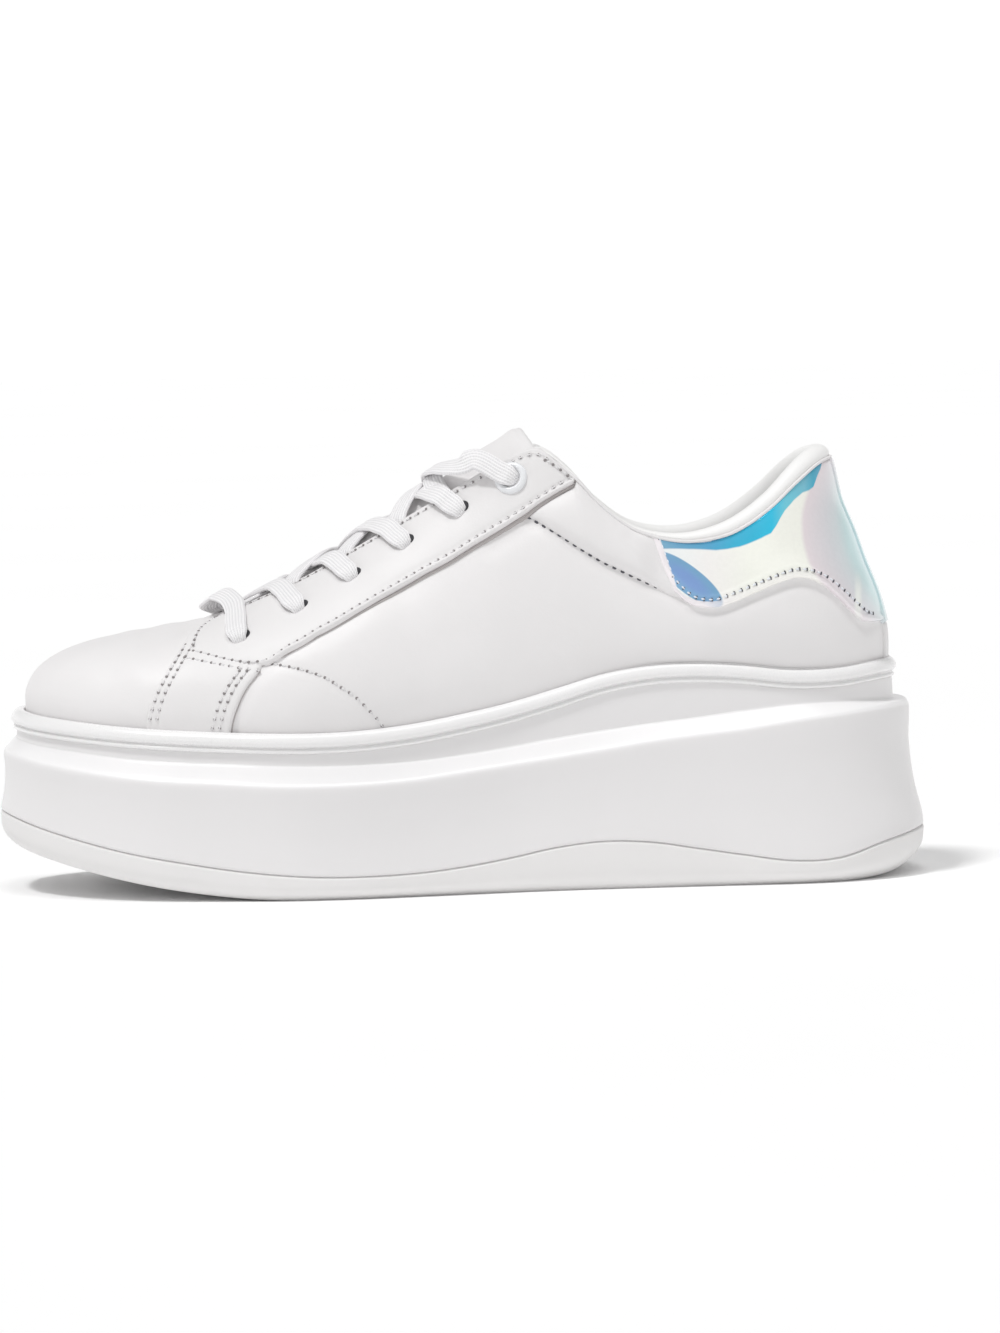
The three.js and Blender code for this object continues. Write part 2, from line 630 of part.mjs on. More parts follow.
// flat lace along points, each with the direction that its face looks
function ribbon(knots, steps) {
  const path = new THREE.CatmullRomCurve3(knots.map((k) => k.point));
  const faces = new THREE.CatmullRomCurve3(knots.map((k) => k.face));
  const rings = [];
  for (let i = 0; i <= steps; i += 1) {
    const t = i / steps;
    const p = path.getPoint(t);
    const way = path.getTangent(t);
    const face = faces.getPoint(t);
    face.addScaledVector(way, -face.dot(way)).normalize();
    const wide = new THREE.Vector3().crossVectors(way, face);
    const corner = (a, b) => p.clone()
      .addScaledVector(wide, (a * LACE_WIDE) / 2)
      .addScaledVector(face, b * LACE_THICK);
    rings.push([
      corner(-0.86, 0), corner(-1, 0.5), corner(-0.8, 1),
      corner(0.8, 1), corner(1, 0.5), corner(0.86, 0),
    ]);
  }
  return solidFromRings(rings);
}
// a lace lies this far over the eyestay, and over the tongue's middle
const LACE_OVER = 1.2;
const rowOf = (k) => {
  const { spot } = holeFrame(1, k, 0);
  return spot.round * LOOP.length;
};
const crownAt = (row) => {
  const i = TONGUE.findIndex((r) => r.row > row);
  const [a, b] = [TONGUE[i - 1], TONGUE[i]];
  return mix(a.crown, b.crown, (row - a.row) / (b.row - a.row));
};
// knot on the facing's edge of one side
function edgeKnot(side, row, up) {
  const round = side > 0 ? row / LOOP.length : 1 - row / LOOP.length;
  const normal = lastNormal(round, up);
  return { point: shellPoint(round, up, OVERLAY_GAP + OVERLAY + LACE_OVER), face: normal };
}
function middleKnot(row, lift) {
  return { point: throatMiddle(row, crownAt(row) + LACE_OVER + lift), face: UPWARDS.clone() };
}
function holeKnot(side, k) {
  const over = k === EYELETS.length - 1 ? EYELET.high + 2 * GAP : 0;
  const { point, normal } = holeFrame(side, k, LACE_OVER + over);
  return { point, face: normal };
}
// straight bar over the lowest pair of holes
function laceBar() {
  const row = rowOf(0);
  return ribbon([
    holeKnot(1, 0), edgeKnot(1, row - 0.1, 0.98), middleKnot(row - 0.3, 2.4),
    edgeKnot(-1, row - 0.1, 0.98), holeKnot(-1, 0),
  ], 12);
}
// one half of a crossing: out from under one facing, over into the other side's hole
function laceHalf(side, k) {
  const low = rowOf(k);
  const high = rowOf(k + 1);
  const span = high - low;
  const start = edgeKnot(-side, low + 0.30 * span, 1);
  const middle = middleKnot(low + 0.55 * span, 1.0);
  start.point.lerp(middle.point, 0.28).addScaledVector(UPWARDS, 0.6);
  return ribbon([
    start, middle, edgeKnot(side, low + 0.82 * span, 0.985), holeKnot(side, k + 1),
  ], 10);
}
function laceCrossing(k) {
  return toGeometry(toSolid(laceHalf(1, k)).add(toSolid(laceHalf(-1, k))));
}

// ---- the shoe ----
const white = { roughness: 0.5, metalness: 0 };
const colours = {
  leather: { color: 0xf3f2f1, ...white },
  rubber: { color: 0xf5f4f4, roughness: 0.55, metalness: 0 },
  gloss: { color: 0xf8f8f8, roughness: 0.25, metalness: 0 },
  lining: { color: 0xf0efee, roughness: 0.85, metalness: 0 },
  foil: { color: 0xbfe3ee, roughness: 0.15, metalness: 0.6 },
  lace: { color: 0xf1f1f3, roughness: 0.9, metalness: 0 },
  plastic: { color: 0xf4f5f7, roughness: 0.3, metalness: 0 },
};
const shoe = new THREE.Group();
function piece(name, geometry, finish) {
  const mesh = new THREE.Mesh(geometry, new THREE.MeshStandardMaterial(colours[finish]));
  mesh.name = name;
  shoe.add(mesh);
}

piece('outsole', outsole(), 'rubber');
piece('midsole', midsole(), 'rubber');
piece('rail', rail(), 'gloss');
piece('insole', insole(), 'lining');
piece('upper', upper(), 'leather');
piece('tongue', tongue(), 'leather');
piece('heel_tab', heelTab(), 'foil');
piece('eyestay_outer', eyestay(1), 'leather');
piece('eyestay_inner', eyestay(-1), 'leather');
piece('eyelet_outer', ringEyelet(1), 'plastic');
piece('eyelet_inner', ringEyelet(-1), 'plastic');
piece('lace_bar', laceBar(), 'lace');
for (let k = 0; k < EYELETS.length - 1; k += 1) {
  piece(`lace_crossing_${k + 1}`, laceCrossing(k), 'lace');
}

// stand the whole shoe centred on the origin
const box = new THREE.Box3().setFromObject(shoe);
shoe.position.set(-(box.min.x + box.max.x) / 2, -(box.min.y + box.max.y) / 2, -box.min.z);
shoe.updateMatrixWorld(true);

export default shoe;
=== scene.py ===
# %% [markdown]
# # A white platform sneaker
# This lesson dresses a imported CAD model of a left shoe. The CAD gives the true sizes and places;
# Blender adds what a shoemaker adds with hand and needle: padded edges, panels, stitches, laces
# and the finish of every surface. Lengths in the tables are millimetres, x counted from the back
# of the heel to the toe, y towards the outer side, z up from the floor.

# %% Load the frame
import functools
import math
import bpy
import bmesh
import numpy as np
from mathutils import Matrix, Vector


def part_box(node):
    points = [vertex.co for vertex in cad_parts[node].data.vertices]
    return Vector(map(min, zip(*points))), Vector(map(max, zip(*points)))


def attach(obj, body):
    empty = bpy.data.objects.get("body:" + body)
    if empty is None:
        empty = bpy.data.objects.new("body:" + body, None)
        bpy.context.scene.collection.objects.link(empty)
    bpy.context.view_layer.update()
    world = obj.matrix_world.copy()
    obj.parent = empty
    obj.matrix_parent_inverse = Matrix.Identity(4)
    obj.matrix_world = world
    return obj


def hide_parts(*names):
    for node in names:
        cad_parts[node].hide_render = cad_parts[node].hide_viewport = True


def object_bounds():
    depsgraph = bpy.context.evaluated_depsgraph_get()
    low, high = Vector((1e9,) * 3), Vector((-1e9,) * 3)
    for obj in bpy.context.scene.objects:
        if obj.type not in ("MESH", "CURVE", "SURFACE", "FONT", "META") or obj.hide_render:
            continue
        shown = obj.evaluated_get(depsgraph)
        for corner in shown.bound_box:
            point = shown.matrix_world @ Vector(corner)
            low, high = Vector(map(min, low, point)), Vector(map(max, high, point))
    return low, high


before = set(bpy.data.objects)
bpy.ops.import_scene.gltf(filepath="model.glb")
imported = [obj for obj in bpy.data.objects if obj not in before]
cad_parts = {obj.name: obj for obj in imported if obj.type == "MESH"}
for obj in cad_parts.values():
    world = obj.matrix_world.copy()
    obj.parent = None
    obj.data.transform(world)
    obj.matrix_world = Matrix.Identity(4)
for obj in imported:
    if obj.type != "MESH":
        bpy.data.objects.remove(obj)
cad_box = [[float(v) for v in corner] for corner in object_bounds()]
print("CAD box", cad_box)

# %% [markdown]
# ## The tables of the last and the sole
# A shoe is built round a last, the solid foot that the maker stretches the leather over. Each row
# of LAST is one section: where the leather leaves the sole on the outer and inner side, and where
# its upper edge ends. Each row of SOLE is one station of the platform's side.

# %% Tables
LAST = np.array([
    # x, outer, inner, top_x, top_z, half, form
    (264, -9, -9, 206, 81.4, 0, 0),
    (262.4, 3, -20, 205.8, 81.2, 3.5, 0),
    (255.5, 15, -29.5, 205.3, 80.8, 7, 0),
    (241.5, 27, -38, 203.5, 80.6, 10, 0.25),
    (223, 35.5, -42.2, 198.5, 83.0, 11.6, 0.55),
    (204, 39.5, -43, 189, 87.2, 12, 0.8),
    (186, 42.5, -40.5, 176, 93.2, 12.5, 1),
    (168, 42.5, -36, 160, 102.2, 13.5, 1.3),
    (150, 40, -31.5, 144, 111.6, 15, 1.65),
    (132, 37, -28, 129, 120.5, 17, 2),
    (117, 34.5, -26.5, 116, 127.8, 19.5, 2.2),
    (104, 33, -26.5, 106.5, 130.6, 21.5, 2.45),
    (92, 32, -27.5, 97.5, 124.3, 24, 2.7),
    (80, 31.5, -28.5, 89, 114.8, 26, 2.9),
    (68, 31, -29.5, 78.5, 107.2, 27.8, 3),
    (55, 30.5, -30, 65.5, 105.0, 28.8, 3),
    (42, 30, -30, 52.5, 108.0, 28.3, 3),
    (29, 28.5, -28.8, 41, 115.2, 26.8, 3.1),
    (18, 25, -25.5, 32, 123.2, 22.5, 3.4),
    (9, 18.5, -19, 25.5, 128.2, 15.5, 3.75),
    (4, 10, -10.5, 21.5, 129.8, 8, 4),
    (2.5, 0, 0, 20.5, 130.0, 0, 4),
], dtype=float)
HEEL_ROW = len(LAST) - 1

SOLE_START, SOLE_STEP = -8.0, 14.0
SOLE_COLUMNS = ("bead", "ledge", "edge", "parting", "ground")
SOLE = np.array([
    (64.6, 52.3, 50.9, 14.0, 4.6), (65.0, 52.8, 50.7, 11.5, 1.2), (63.7, 53.1, 49.5, 7.6, 0),
    (63.8, 52.6, 48.1, 7.2, 0), (65.5, 51.1, 46.2, 9.2, 0), (66.4, 49.5, 44.8, 11.5, 0),
    (66.0, 48.1, 43.3, 13.8, 0), (63.7, 46.4, 41.3, 14.5, 0), (59.7, 44.5, 39.4, 13.2, 0),
    (56.0, 42.4, 37.6, 10.6, 0), (53.2, 40.7, 35.9, 8.5, 0), (50.9, 39.4, 34.3, 7.2, 0),
    (49.5, 38.9, 33.5, 6.8, 0), (49.0, 38.8, 33.3, 7.0, 0), (49.2, 39.2, 33.6, 8.0, 0.2),
    (49.7, 39.9, 34.4, 9.6, 1.2), (50.4, 40.5, 35.1, 11.8, 3.0), (51.3, 41.4, 36.2, 14.2, 5.4),
    (52.5, 43.0, 37.9, 17.3, 8.4), (53.9, 44.5, 40.1, 20.8, 11.8), (56.0, 46.6, 42.7, 24.4, 15.4),
], dtype=float)

# side profiles at equal steps from the foot line to the top edge, a row for each form:
# toe, ball, instep, collar, heel
FORMS = {
    "rise": np.array([
        (0, 0.20, 0.38, 0.54, 0.67, 0.77, 0.85, 0.925, 1),
        (0, 0.14, 0.30, 0.45, 0.60, 0.73, 0.84, 0.93, 1),
        (0, 0.13, 0.27, 0.40, 0.53, 0.66, 0.78, 0.89, 1),
        (0, 0.125, 0.25, 0.375, 0.5, 0.625, 0.75, 0.875, 1),
        (0, 0.125, 0.25, 0.375, 0.5, 0.625, 0.75, 0.875, 1),
    ]),
    "lean": np.array([
        (0, 0, 0.015, 0.07, 0.17, 0.31, 0.50, 0.74, 1),
        (0, 0, 0.01, 0.06, 0.18, 0.36, 0.57, 0.79, 1),
        (0, 0, 0.02, 0.09, 0.20, 0.36, 0.55, 0.77, 1),
        (0, 0, 0.05, 0.15, 0.30, 0.48, 0.66, 0.84, 1),
        (0, 0, 0.045, 0.155, 0.33, 0.50, 0.70, 0.845, 1),
    ]),
    "swell": np.array([
        (0, 0, 0, 0, 0, 0, 0, 0, 0),
        (0, 1.3, 1.6, 1.2, 0.5, 0.1, 0, 0, 0),
        (0, 1.0, 1.2, 0.8, 0.3, 0, 0, 0, 0),
        (0, 1.2, 2.2, 2.6, 2.4, 1.8, 1.1, 0.4, 0),
        (0, 0.3, 0.3, 0.2, 0, 0, 0, 0, 0),
    ], dtype=float),
}
MIDDLE_X, MIDDLE_Y = (0, 90, 130, 200, 264), (0, 0, -1.5, -4, -9)

WALL = 2.2                # thickness of the upper
# out from the foot line, but BEAD_HEIGHT goes up and HEEL_RIM is a share of the band
BEAD_HEIGHT, BEAD_OUT, BAND_OUT = 5.8, 4.2, 3.5
EDGE_OUT, FOOT_OUT, HEEL_FLARE, HEEL_RIM = 7.0, 8.0, 2.6, 0.72
SEAT = 0.4                # the upper's foot over the platform's top
LUG_DEPTH = 2.2
print(len(LAST), "sections of the last,", len(SOLE), "stations of the sole")

# %% [markdown]
# ## Reading the tables
# One smooth curve runs through the rows of a table, so a few rows give a fair surface. The same
# sums shaped the CAD, so what is made here lies on it exactly.

# %% Smooth reading
def hermite(p0, p1, p2, p3, f):
    m1, m2 = (p2 - p0) / 2, (p3 - p1) / 2
    f2, f3 = f * f, f * f * f
    return (2*f3 - 3*f2 + 1) * p1 + (f3 - 2*f2 + f) * m1 + (3*f2 - 2*f3) * p2 + (f3 - f2) * m2


def read_rows(values, t, closed=False):
    """The smooth curve through equally spaced values, at the fractional rows t."""
    values, t = np.asarray(values, float), np.asarray(t, float)
    n, i = len(values), np.floor(t).astype(int)
    f = t - i
    f = f.reshape(f.shape + (1,) * (values.ndim - 1))
    wrap = (lambda k: k % n) if closed else (lambda k: np.clip(k, 0, n - 1))
    return hermite(*(values[wrap(i + k)] for k in (-1, 0, 1, 2)), f)


def ease(a, b, x):
    t = np.clip((np.asarray(x, float) - a) / (b - a), 0, 1)
    return t * t * (3 - 2 * t)


def mix(a, b, t):
    return a + (b - a) * t


def sole_at(column, x):
    t = np.clip((np.asarray(x, float) - SOLE_START) / SOLE_STEP, 0, len(SOLE) - 1)
    value = read_rows(SOLE[:, SOLE_COLUMNS.index(column)], t)
    return np.maximum(value, 0) if column == "ground" else value

# %% The last's surface
def loop_table():
    rows = [(r, 1) for r in LAST] + [(r, -1) for r in LAST[-2:0:-1]]
    return np.array([
        (x, outer if side > 0 else inner, top_x,
         np.interp(top_x, MIDDLE_X, MIDDLE_Y) + side * half, top_z, form)
        for (x, outer, inner, top_x, top_z, half, form), side in rows
    ])


LOOP = loop_table()
ROWS = len(LOOP)                 # rows once round the shoe, 0 at the toe, outer side first
print("rows round the shoe:", ROWS)


def foot_line(row):
    """Foot line of the upper and its outward direction, seen from above."""
    here = read_rows(LOOP[:, :2], row, True)
    step = 1e-3 * ROWS
    d = read_rows(LOOP[:, :2], row + step, True) - read_rows(LOOP[:, :2], row - step, True)
    out = np.stack([d[..., 1], -d[..., 0]], -1)
    return here, out / np.linalg.norm(out, axis=-1, keepdims=True)


def profile(form, column, up):
    table = FORMS[column]
    table = np.concatenate([2 * table[:, :1] - table[:, 1:2], table,
                            2 * table[:, -1:] - table[:, -2:-1]], axis=1)
    kind = np.clip(form, 0, len(table) - 1)
    k = np.minimum(len(table) - 2, np.floor(kind)).astype(int)
    t = up * 8
    i = np.minimum(7, np.floor(t)).astype(int)
    low, high = (hermite(*(table[k + a, i + j] for j in range(4)), t - i) for a in (0, 1))
    return mix(low, high, kind - k)


def foot_height(x):
    return sole_at("bead", x) - BEAD_HEIGHT


def last_point(row, up):
    """Outer face of the upper, up from 0 at the foot line to 1 at the top edge."""
    row, up = np.broadcast_arrays(np.asarray(row, float), np.asarray(up, float))
    foot, out = foot_line(row)
    top_x, top_y, top_z, form = (read_rows(LOOP[:, c], row, True) for c in (2, 3, 4, 5))
    lean, rise, swell = (profile(form, c, up) for c in ("lean", "rise", "swell"))
    return np.stack([
        mix(foot[..., 0], top_x, lean) + out[..., 0] * swell,
        mix(foot[..., 1], top_y, lean) + out[..., 1] * swell,
        mix(foot_height(foot[..., 0]) + SEAT, top_z, rise),
    ], -1)


def last_normal(row, up):
    a, b = 2e-3 * ROWS, 1e-2
    along = last_point(row + a, up) - last_point(row - a, up)
    rise = last_point(row, np.minimum(1, up + b)) - last_point(row, np.maximum(0, up - b))
    n = np.cross(along, rise)
    return n / np.linalg.norm(n, axis=-1, keepdims=True)


def shell(row, up, out):
    out = np.asarray(out, float)
    return last_point(row, up) + last_normal(row, up) * out[..., None]


def section_length(row):
    """Rough length of a section's leather, to turn millimetres into shares of it."""
    p = last_point(np.asarray(row, float)[..., None], np.linspace(0, 1, 25))
    return np.linalg.norm(np.diff(p, axis=-2), axis=-1).sum(-1)

# %% Where the tables stand in the frame
def sole_ring(out, height, steps=480):
    row = np.arange(steps) / steps * ROWS
    foot, normal = foot_line(row)
    out = np.broadcast_to(out(foot[:, 0]) if callable(out) else float(out), steps)
    p = foot + normal * out[:, None]
    return np.column_stack([p, np.broadcast_to(height(p[:, 0]), steps)])


def rim(x):
    return mix(HEEL_RIM, 1, ease(20, 160, x))


def flare(x):
    return HEEL_FLARE * (1 - ease(-8, 62, x))


widest = sole_ring(lambda x: FOOT_OUT + 0.1 + flare(x), lambda x: 0 * x, 72)
low, high = (np.array(c) * 1000 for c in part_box("outsole"))
SHIFT = (low + high) / 2 - (widest.min(0) + widest.max(0)) / 2
SHIFT[2] = 0


def to_frame(points):
    return (np.asarray(points, float) + SHIFT) / 1000


print("shift in mm", SHIFT.round(3), "size match",
      (high - low)[:2] / (widest.max(0) - widest.min(0))[:2])

# %% [markdown]
# ## Shader maths as plain Python
# A node tree is easier to read as an expression. Sock wraps one socket and turns + - * / into Math
# nodes; Finish makes a material and any other node, with its settings first and its inputs next.

# %% Sockets as numbers
class Sock:
    """One output socket of a node tree, with the usual operators."""

    def __init__(self, finish, socket):
        self.finish, self.socket = finish, socket

    def math(self, operation, other=0.0, turned=False):
        pair = (other, self) if turned else (self, other)
        return self.finish.node("ShaderNodeMath", {"operation": operation}, {0: pair[0], 1: pair[1]})

    def __add__(self, other): return self.math("ADD", other)
    def __radd__(self, other): return self.math("ADD", other, True)
    def __sub__(self, other): return self.math("SUBTRACT", other)
    def __rsub__(self, other): return self.math("SUBTRACT", other, True)
    def __mul__(self, other): return self.math("MULTIPLY", other)
    def __rmul__(self, other): return self.math("MULTIPLY", other, True)
    def __truediv__(self, other): return self.math("DIVIDE", other)
    def __rtruediv__(self, other): return self.math("DIVIDE", other, True)

# %% A finish under construction
class Finish:
    """A material and its nodes."""

    def __init__(self, name, **constants):
        self.material = bpy.data.materials.new(name)
        self.material.use_nodes = True
        self.tree = self.material.node_tree
        self.shader = self.tree.nodes["Principled BSDF"]
        for key, value in constants.items():
            self.shader.inputs[key.replace("_", " ").title().replace("Ior", "IOR")].default_value = value

    def node(self, kind, settings=None, inputs=None, output=0):
        made = self.tree.nodes.new(kind)
        for key, value in (settings or {}).items():
            if key == "stops":
                self.stops(made, value)
            else:
                setattr(made, key, value)
        for key, value in (inputs or {}).items():
            self.feed(made.inputs[key], value)
        return Sock(self, made.outputs[output])

    def feed(self, socket, value):
        if isinstance(value, Sock):
            self.tree.links.new(value.socket, socket)
        else:
            socket.default_value = value

    def stops(self, ramp, stops):
        elements = ramp.color_ramp.elements
        while len(elements) < len(stops):
            elements.new(0.5)
        for element, (place, colour) in zip(elements, stops):
            element.position, element.color = place, (*colour, 1)

    def place(self, which="Object"):
        return self.node("ShaderNodeTexCoord", output=which)

    def noise(self, scale, detail):
        return self.node("ShaderNodeTexNoise", {}, {"Vector": self.place(), "Scale": scale, "Detail": detail})

    def cells(self, scale):
        return self.node("ShaderNodeTexVoronoi", {"feature": "SMOOTH_F1"}, {
            "Vector": self.place(), "Scale": scale})

    def span(self, value, a, b, lowest=0.0, highest=1.0):
        return self.node("ShaderNodeMapRange", {"interpolation_type": "SMOOTHSTEP"}, {
            "Value": value, "From Min": a, "From Max": b, "To Min": lowest, "To Max": highest})

    def blend(self, share, first, second):
        made = self.tree.nodes.new("ShaderNodeMix")
        made.data_type = "RGBA"
        self.feed(made.inputs[0], share)
        for slot, colour in ((6, first), (7, second)):
            self.feed(made.inputs[slot], colour if isinstance(colour, Sock) else (*colour, 1))
        return Sock(self, made.outputs[2])

    def bump(self, height, distance, strength, over=None):
        inputs = {"Height": height, "Distance": distance, "Strength": strength}
        if over:
            inputs["Normal"] = over
        return self.node("ShaderNodeBump", {}, inputs)

    def use(self, **links):
        for key, value in links.items():
            self.feed(self.shader.inputs[key.replace("_", " ").title()], value)
        return self.material

# %% [markdown]
# ## The finishes
# Everything on this shoe is white, so the finishes differ in gloss and grain and not in colour:
# coated leather with a tiny pebble grain, satin foam, shiny rail, dull rubber, soft knitted
# lining and woven lace. Only the heel film is coloured.

# %% Leather
def leather_finish(name, colour, roughness, grain=1.0):
    f = Finish(name, specular_ior_level=0.45)
    pebble = f.cells(1500)
    fine = f.noise(2600, 2)
    cloud = f.noise(26, 3)
    folds = f.noise(120, 2)
    height = pebble * 0.7 + fine * 0.3
    surface = f.bump(height, 0.00005 * grain, 0.5)
    soft = f.bump(folds, 0.00035 * grain, 0.25, over=surface)
    tint = f.blend(f.span(cloud, 0.35, 0.7), colour, tuple(c * 0.975 for c in colour))
    dull = f.span(cloud + fine * 0.2, 0.3, 0.9, roughness - 0.05, roughness + 0.08)
    return f.use(base_color=tint, roughness=dull, normal=soft)


LEATHER = leather_finish("white_coated_leather", (0.82, 0.805, 0.806), 0.50)
TRIM_LEATHER = leather_finish("white_trim_leather", (0.80, 0.786, 0.786), 0.52)
LINING_LEATHER = leather_finish("soft_collar_leather", (0.91, 0.905, 0.897), 0.55, 0.7)
print("leathers:", [m.name for m in (LEATHER, TRIM_LEATHER, LINING_LEATHER)])

# %% Sole finishes
def moulded_finish(name, colour, roughness, speck=0.00002, coat=0.0):
    f = Finish(name, specular_ior_level=0.4, coat_weight=coat, coat_roughness=0.2)
    cloud = f.noise(14, 3)
    skin = f.noise(3000, 2)
    tint = f.blend(f.span(cloud, 0.35, 0.7), colour, tuple(c * 0.982 for c in colour))
    surface = f.bump(skin, speck, 0.4)
    return f.use(base_color=tint, normal=surface,
                 roughness=f.span(skin + cloud, 0.6, 1.4, roughness - 0.06, roughness + 0.06))


def platform_finish():
    """Midsole foam; v counts the rings from the top, and the ledge band has a painted highlight, a paler
    colour.
    """
    f = Finish("white_platform_foam", specular_ior_level=0.4, coat_weight=0.4, coat_roughness=0.2)
    parts = f.node("ShaderNodeSeparateXYZ", {}, {0: f.place("UV")})
    v = Sock(f, parts.socket.node.outputs[1])
    cloud, skin = f.noise(14, 3), f.noise(3000, 2)
    tint = f.blend(f.span(cloud, 0.35, 0.7), (0.795, 0.782, 0.785), (0.78, 0.768, 0.77))
    # painted highlight: the ledge band is painted paler, as if lit
    ledge = f.span(v, 4.2, 5.0) * f.span(v, 8.0, 6.9)
    return f.use(base_color=f.blend(ledge, tint, (0.875, 0.866, 0.87)), normal=f.bump(skin, 0.00002, 0.4),
                 roughness=f.span(skin + cloud, 0.6, 1.4, 0.40, 0.52))


FOAM = platform_finish()
RUBBER = moulded_finish("white_outsole_rubber", (0.815, 0.804, 0.80), 0.6, 0.00004)
GLOSS = moulded_finish("glossy_rail", (0.86, 0.853, 0.853), 0.30, 0.00001, 0.4)
PLASTIC = moulded_finish("eyelet_plastic", (0.82, 0.83, 0.85), 0.2, 0.000005, 0.5)
print("moulded finishes:", [m.name for m in (FOAM, RUBBER, GLOSS, PLASTIC)])

# %% Cloth finishes
def knit_finish(name, colour, pitch=0.0011):
    """A fine knit: two crossing waves make the loops."""
    f = Finish(name, roughness=0.9, specular_ior_level=0.2, sheen_weight=0.25)
    place = f.place()
    wave = {"wave_type": "BANDS", "wave_profile": "SIN"}
    ribs = f.node("ShaderNodeTexWave", {**wave, "bands_direction": "X"},
                  {"Vector": place, "Scale": 0.314 / pitch, "Distortion": 0.6})
    rows = f.node("ShaderNodeTexWave", {**wave, "bands_direction": "Z"},
                  {"Vector": place, "Scale": 0.314 / pitch, "Distortion": 0.6})
    loops = ribs.math("MAXIMUM", rows)
    # painted shade: darker between the loops, where they sink
    tint = f.blend(loops, tuple(c * 0.9 for c in colour), colour)
    return f.use(base_color=tint, normal=f.bump(loops, 0.00025, 0.6))


def lace_finish():
    """Flat tubular lace: u runs along it, v across it, both in millimetres."""
    f = Finish("woven_lace", roughness=0.85, specular_ior_level=0.25, sheen_weight=0.3)
    parts = f.node("ShaderNodeSeparateXYZ", {}, {0: f.place("UV")})
    u, v = parts, Sock(f, parts.socket.node.outputs[1])
    # ribs run along the lace; the fine yarns cross them aslant
    ribs = (v * (7 * 2 * math.pi)).math("SINE")
    yarn = ((u * 1.35 + (v - 0.5).math("ABSOLUTE") * 3.0) * (2 * math.pi)).math("SINE")
    height = ribs * 0.72 + yarn * 0.28
    # painted shade: darker where the ribs and yarns sink, paler on their crowns
    tint = f.blend(f.span(height, -0.9, 0.4), (0.77, 0.76, 0.77), (0.92, 0.91, 0.92))
    return f.use(base_color=tint, normal=f.bump(height, 0.00016, 0.6))


LINING = knit_finish("white_lining_knit", (0.80, 0.795, 0.79))
SOCK_LINING = knit_finish("insole_cloth", (0.77, 0.765, 0.76), 0.0014)
LACE = lace_finish()
THREAD = moulded_finish("sewing_thread", (0.74, 0.73, 0.735), 0.6, 0.00003)
FILM_THREAD = moulded_finish("pale_film_thread", (0.80, 0.83, 0.88), 0.35, 0.00003)
# the needle holes are real holes; their dark colour is painted shade in them
NEEDLE_HOLE = moulded_finish("needle_hole", (0.27, 0.25, 0.25), 0.8)
NEEDLE_DARK = moulded_finish("dark_needle_hole", (0.10, 0.10, 0.115), 0.8)
# painted shadow: a dark grey-brown for the cord laid where shade falls under the facing's lower edge and behind
# the strip
EDGE_SHADE = moulded_finish("painted_edge_shadow", (0.47, 0.44, 0.435), 0.8)
HOLE_DARK = moulded_finish("lace_hole_shade", (0.05, 0.05, 0.055), 0.9)
print("finishes so far:", len(bpy.data.materials))

# %% [markdown]
# ## The heel film
# The tab is a mirror-like film whose colour changes across the heel: a band of blue under the
# collar, a violet pool at the front, cream in the middle, then pink and sea green round the back.
# Real film does this by interference. A painted map of zones on the object's own coordinates
# gives the same look and survives the export.

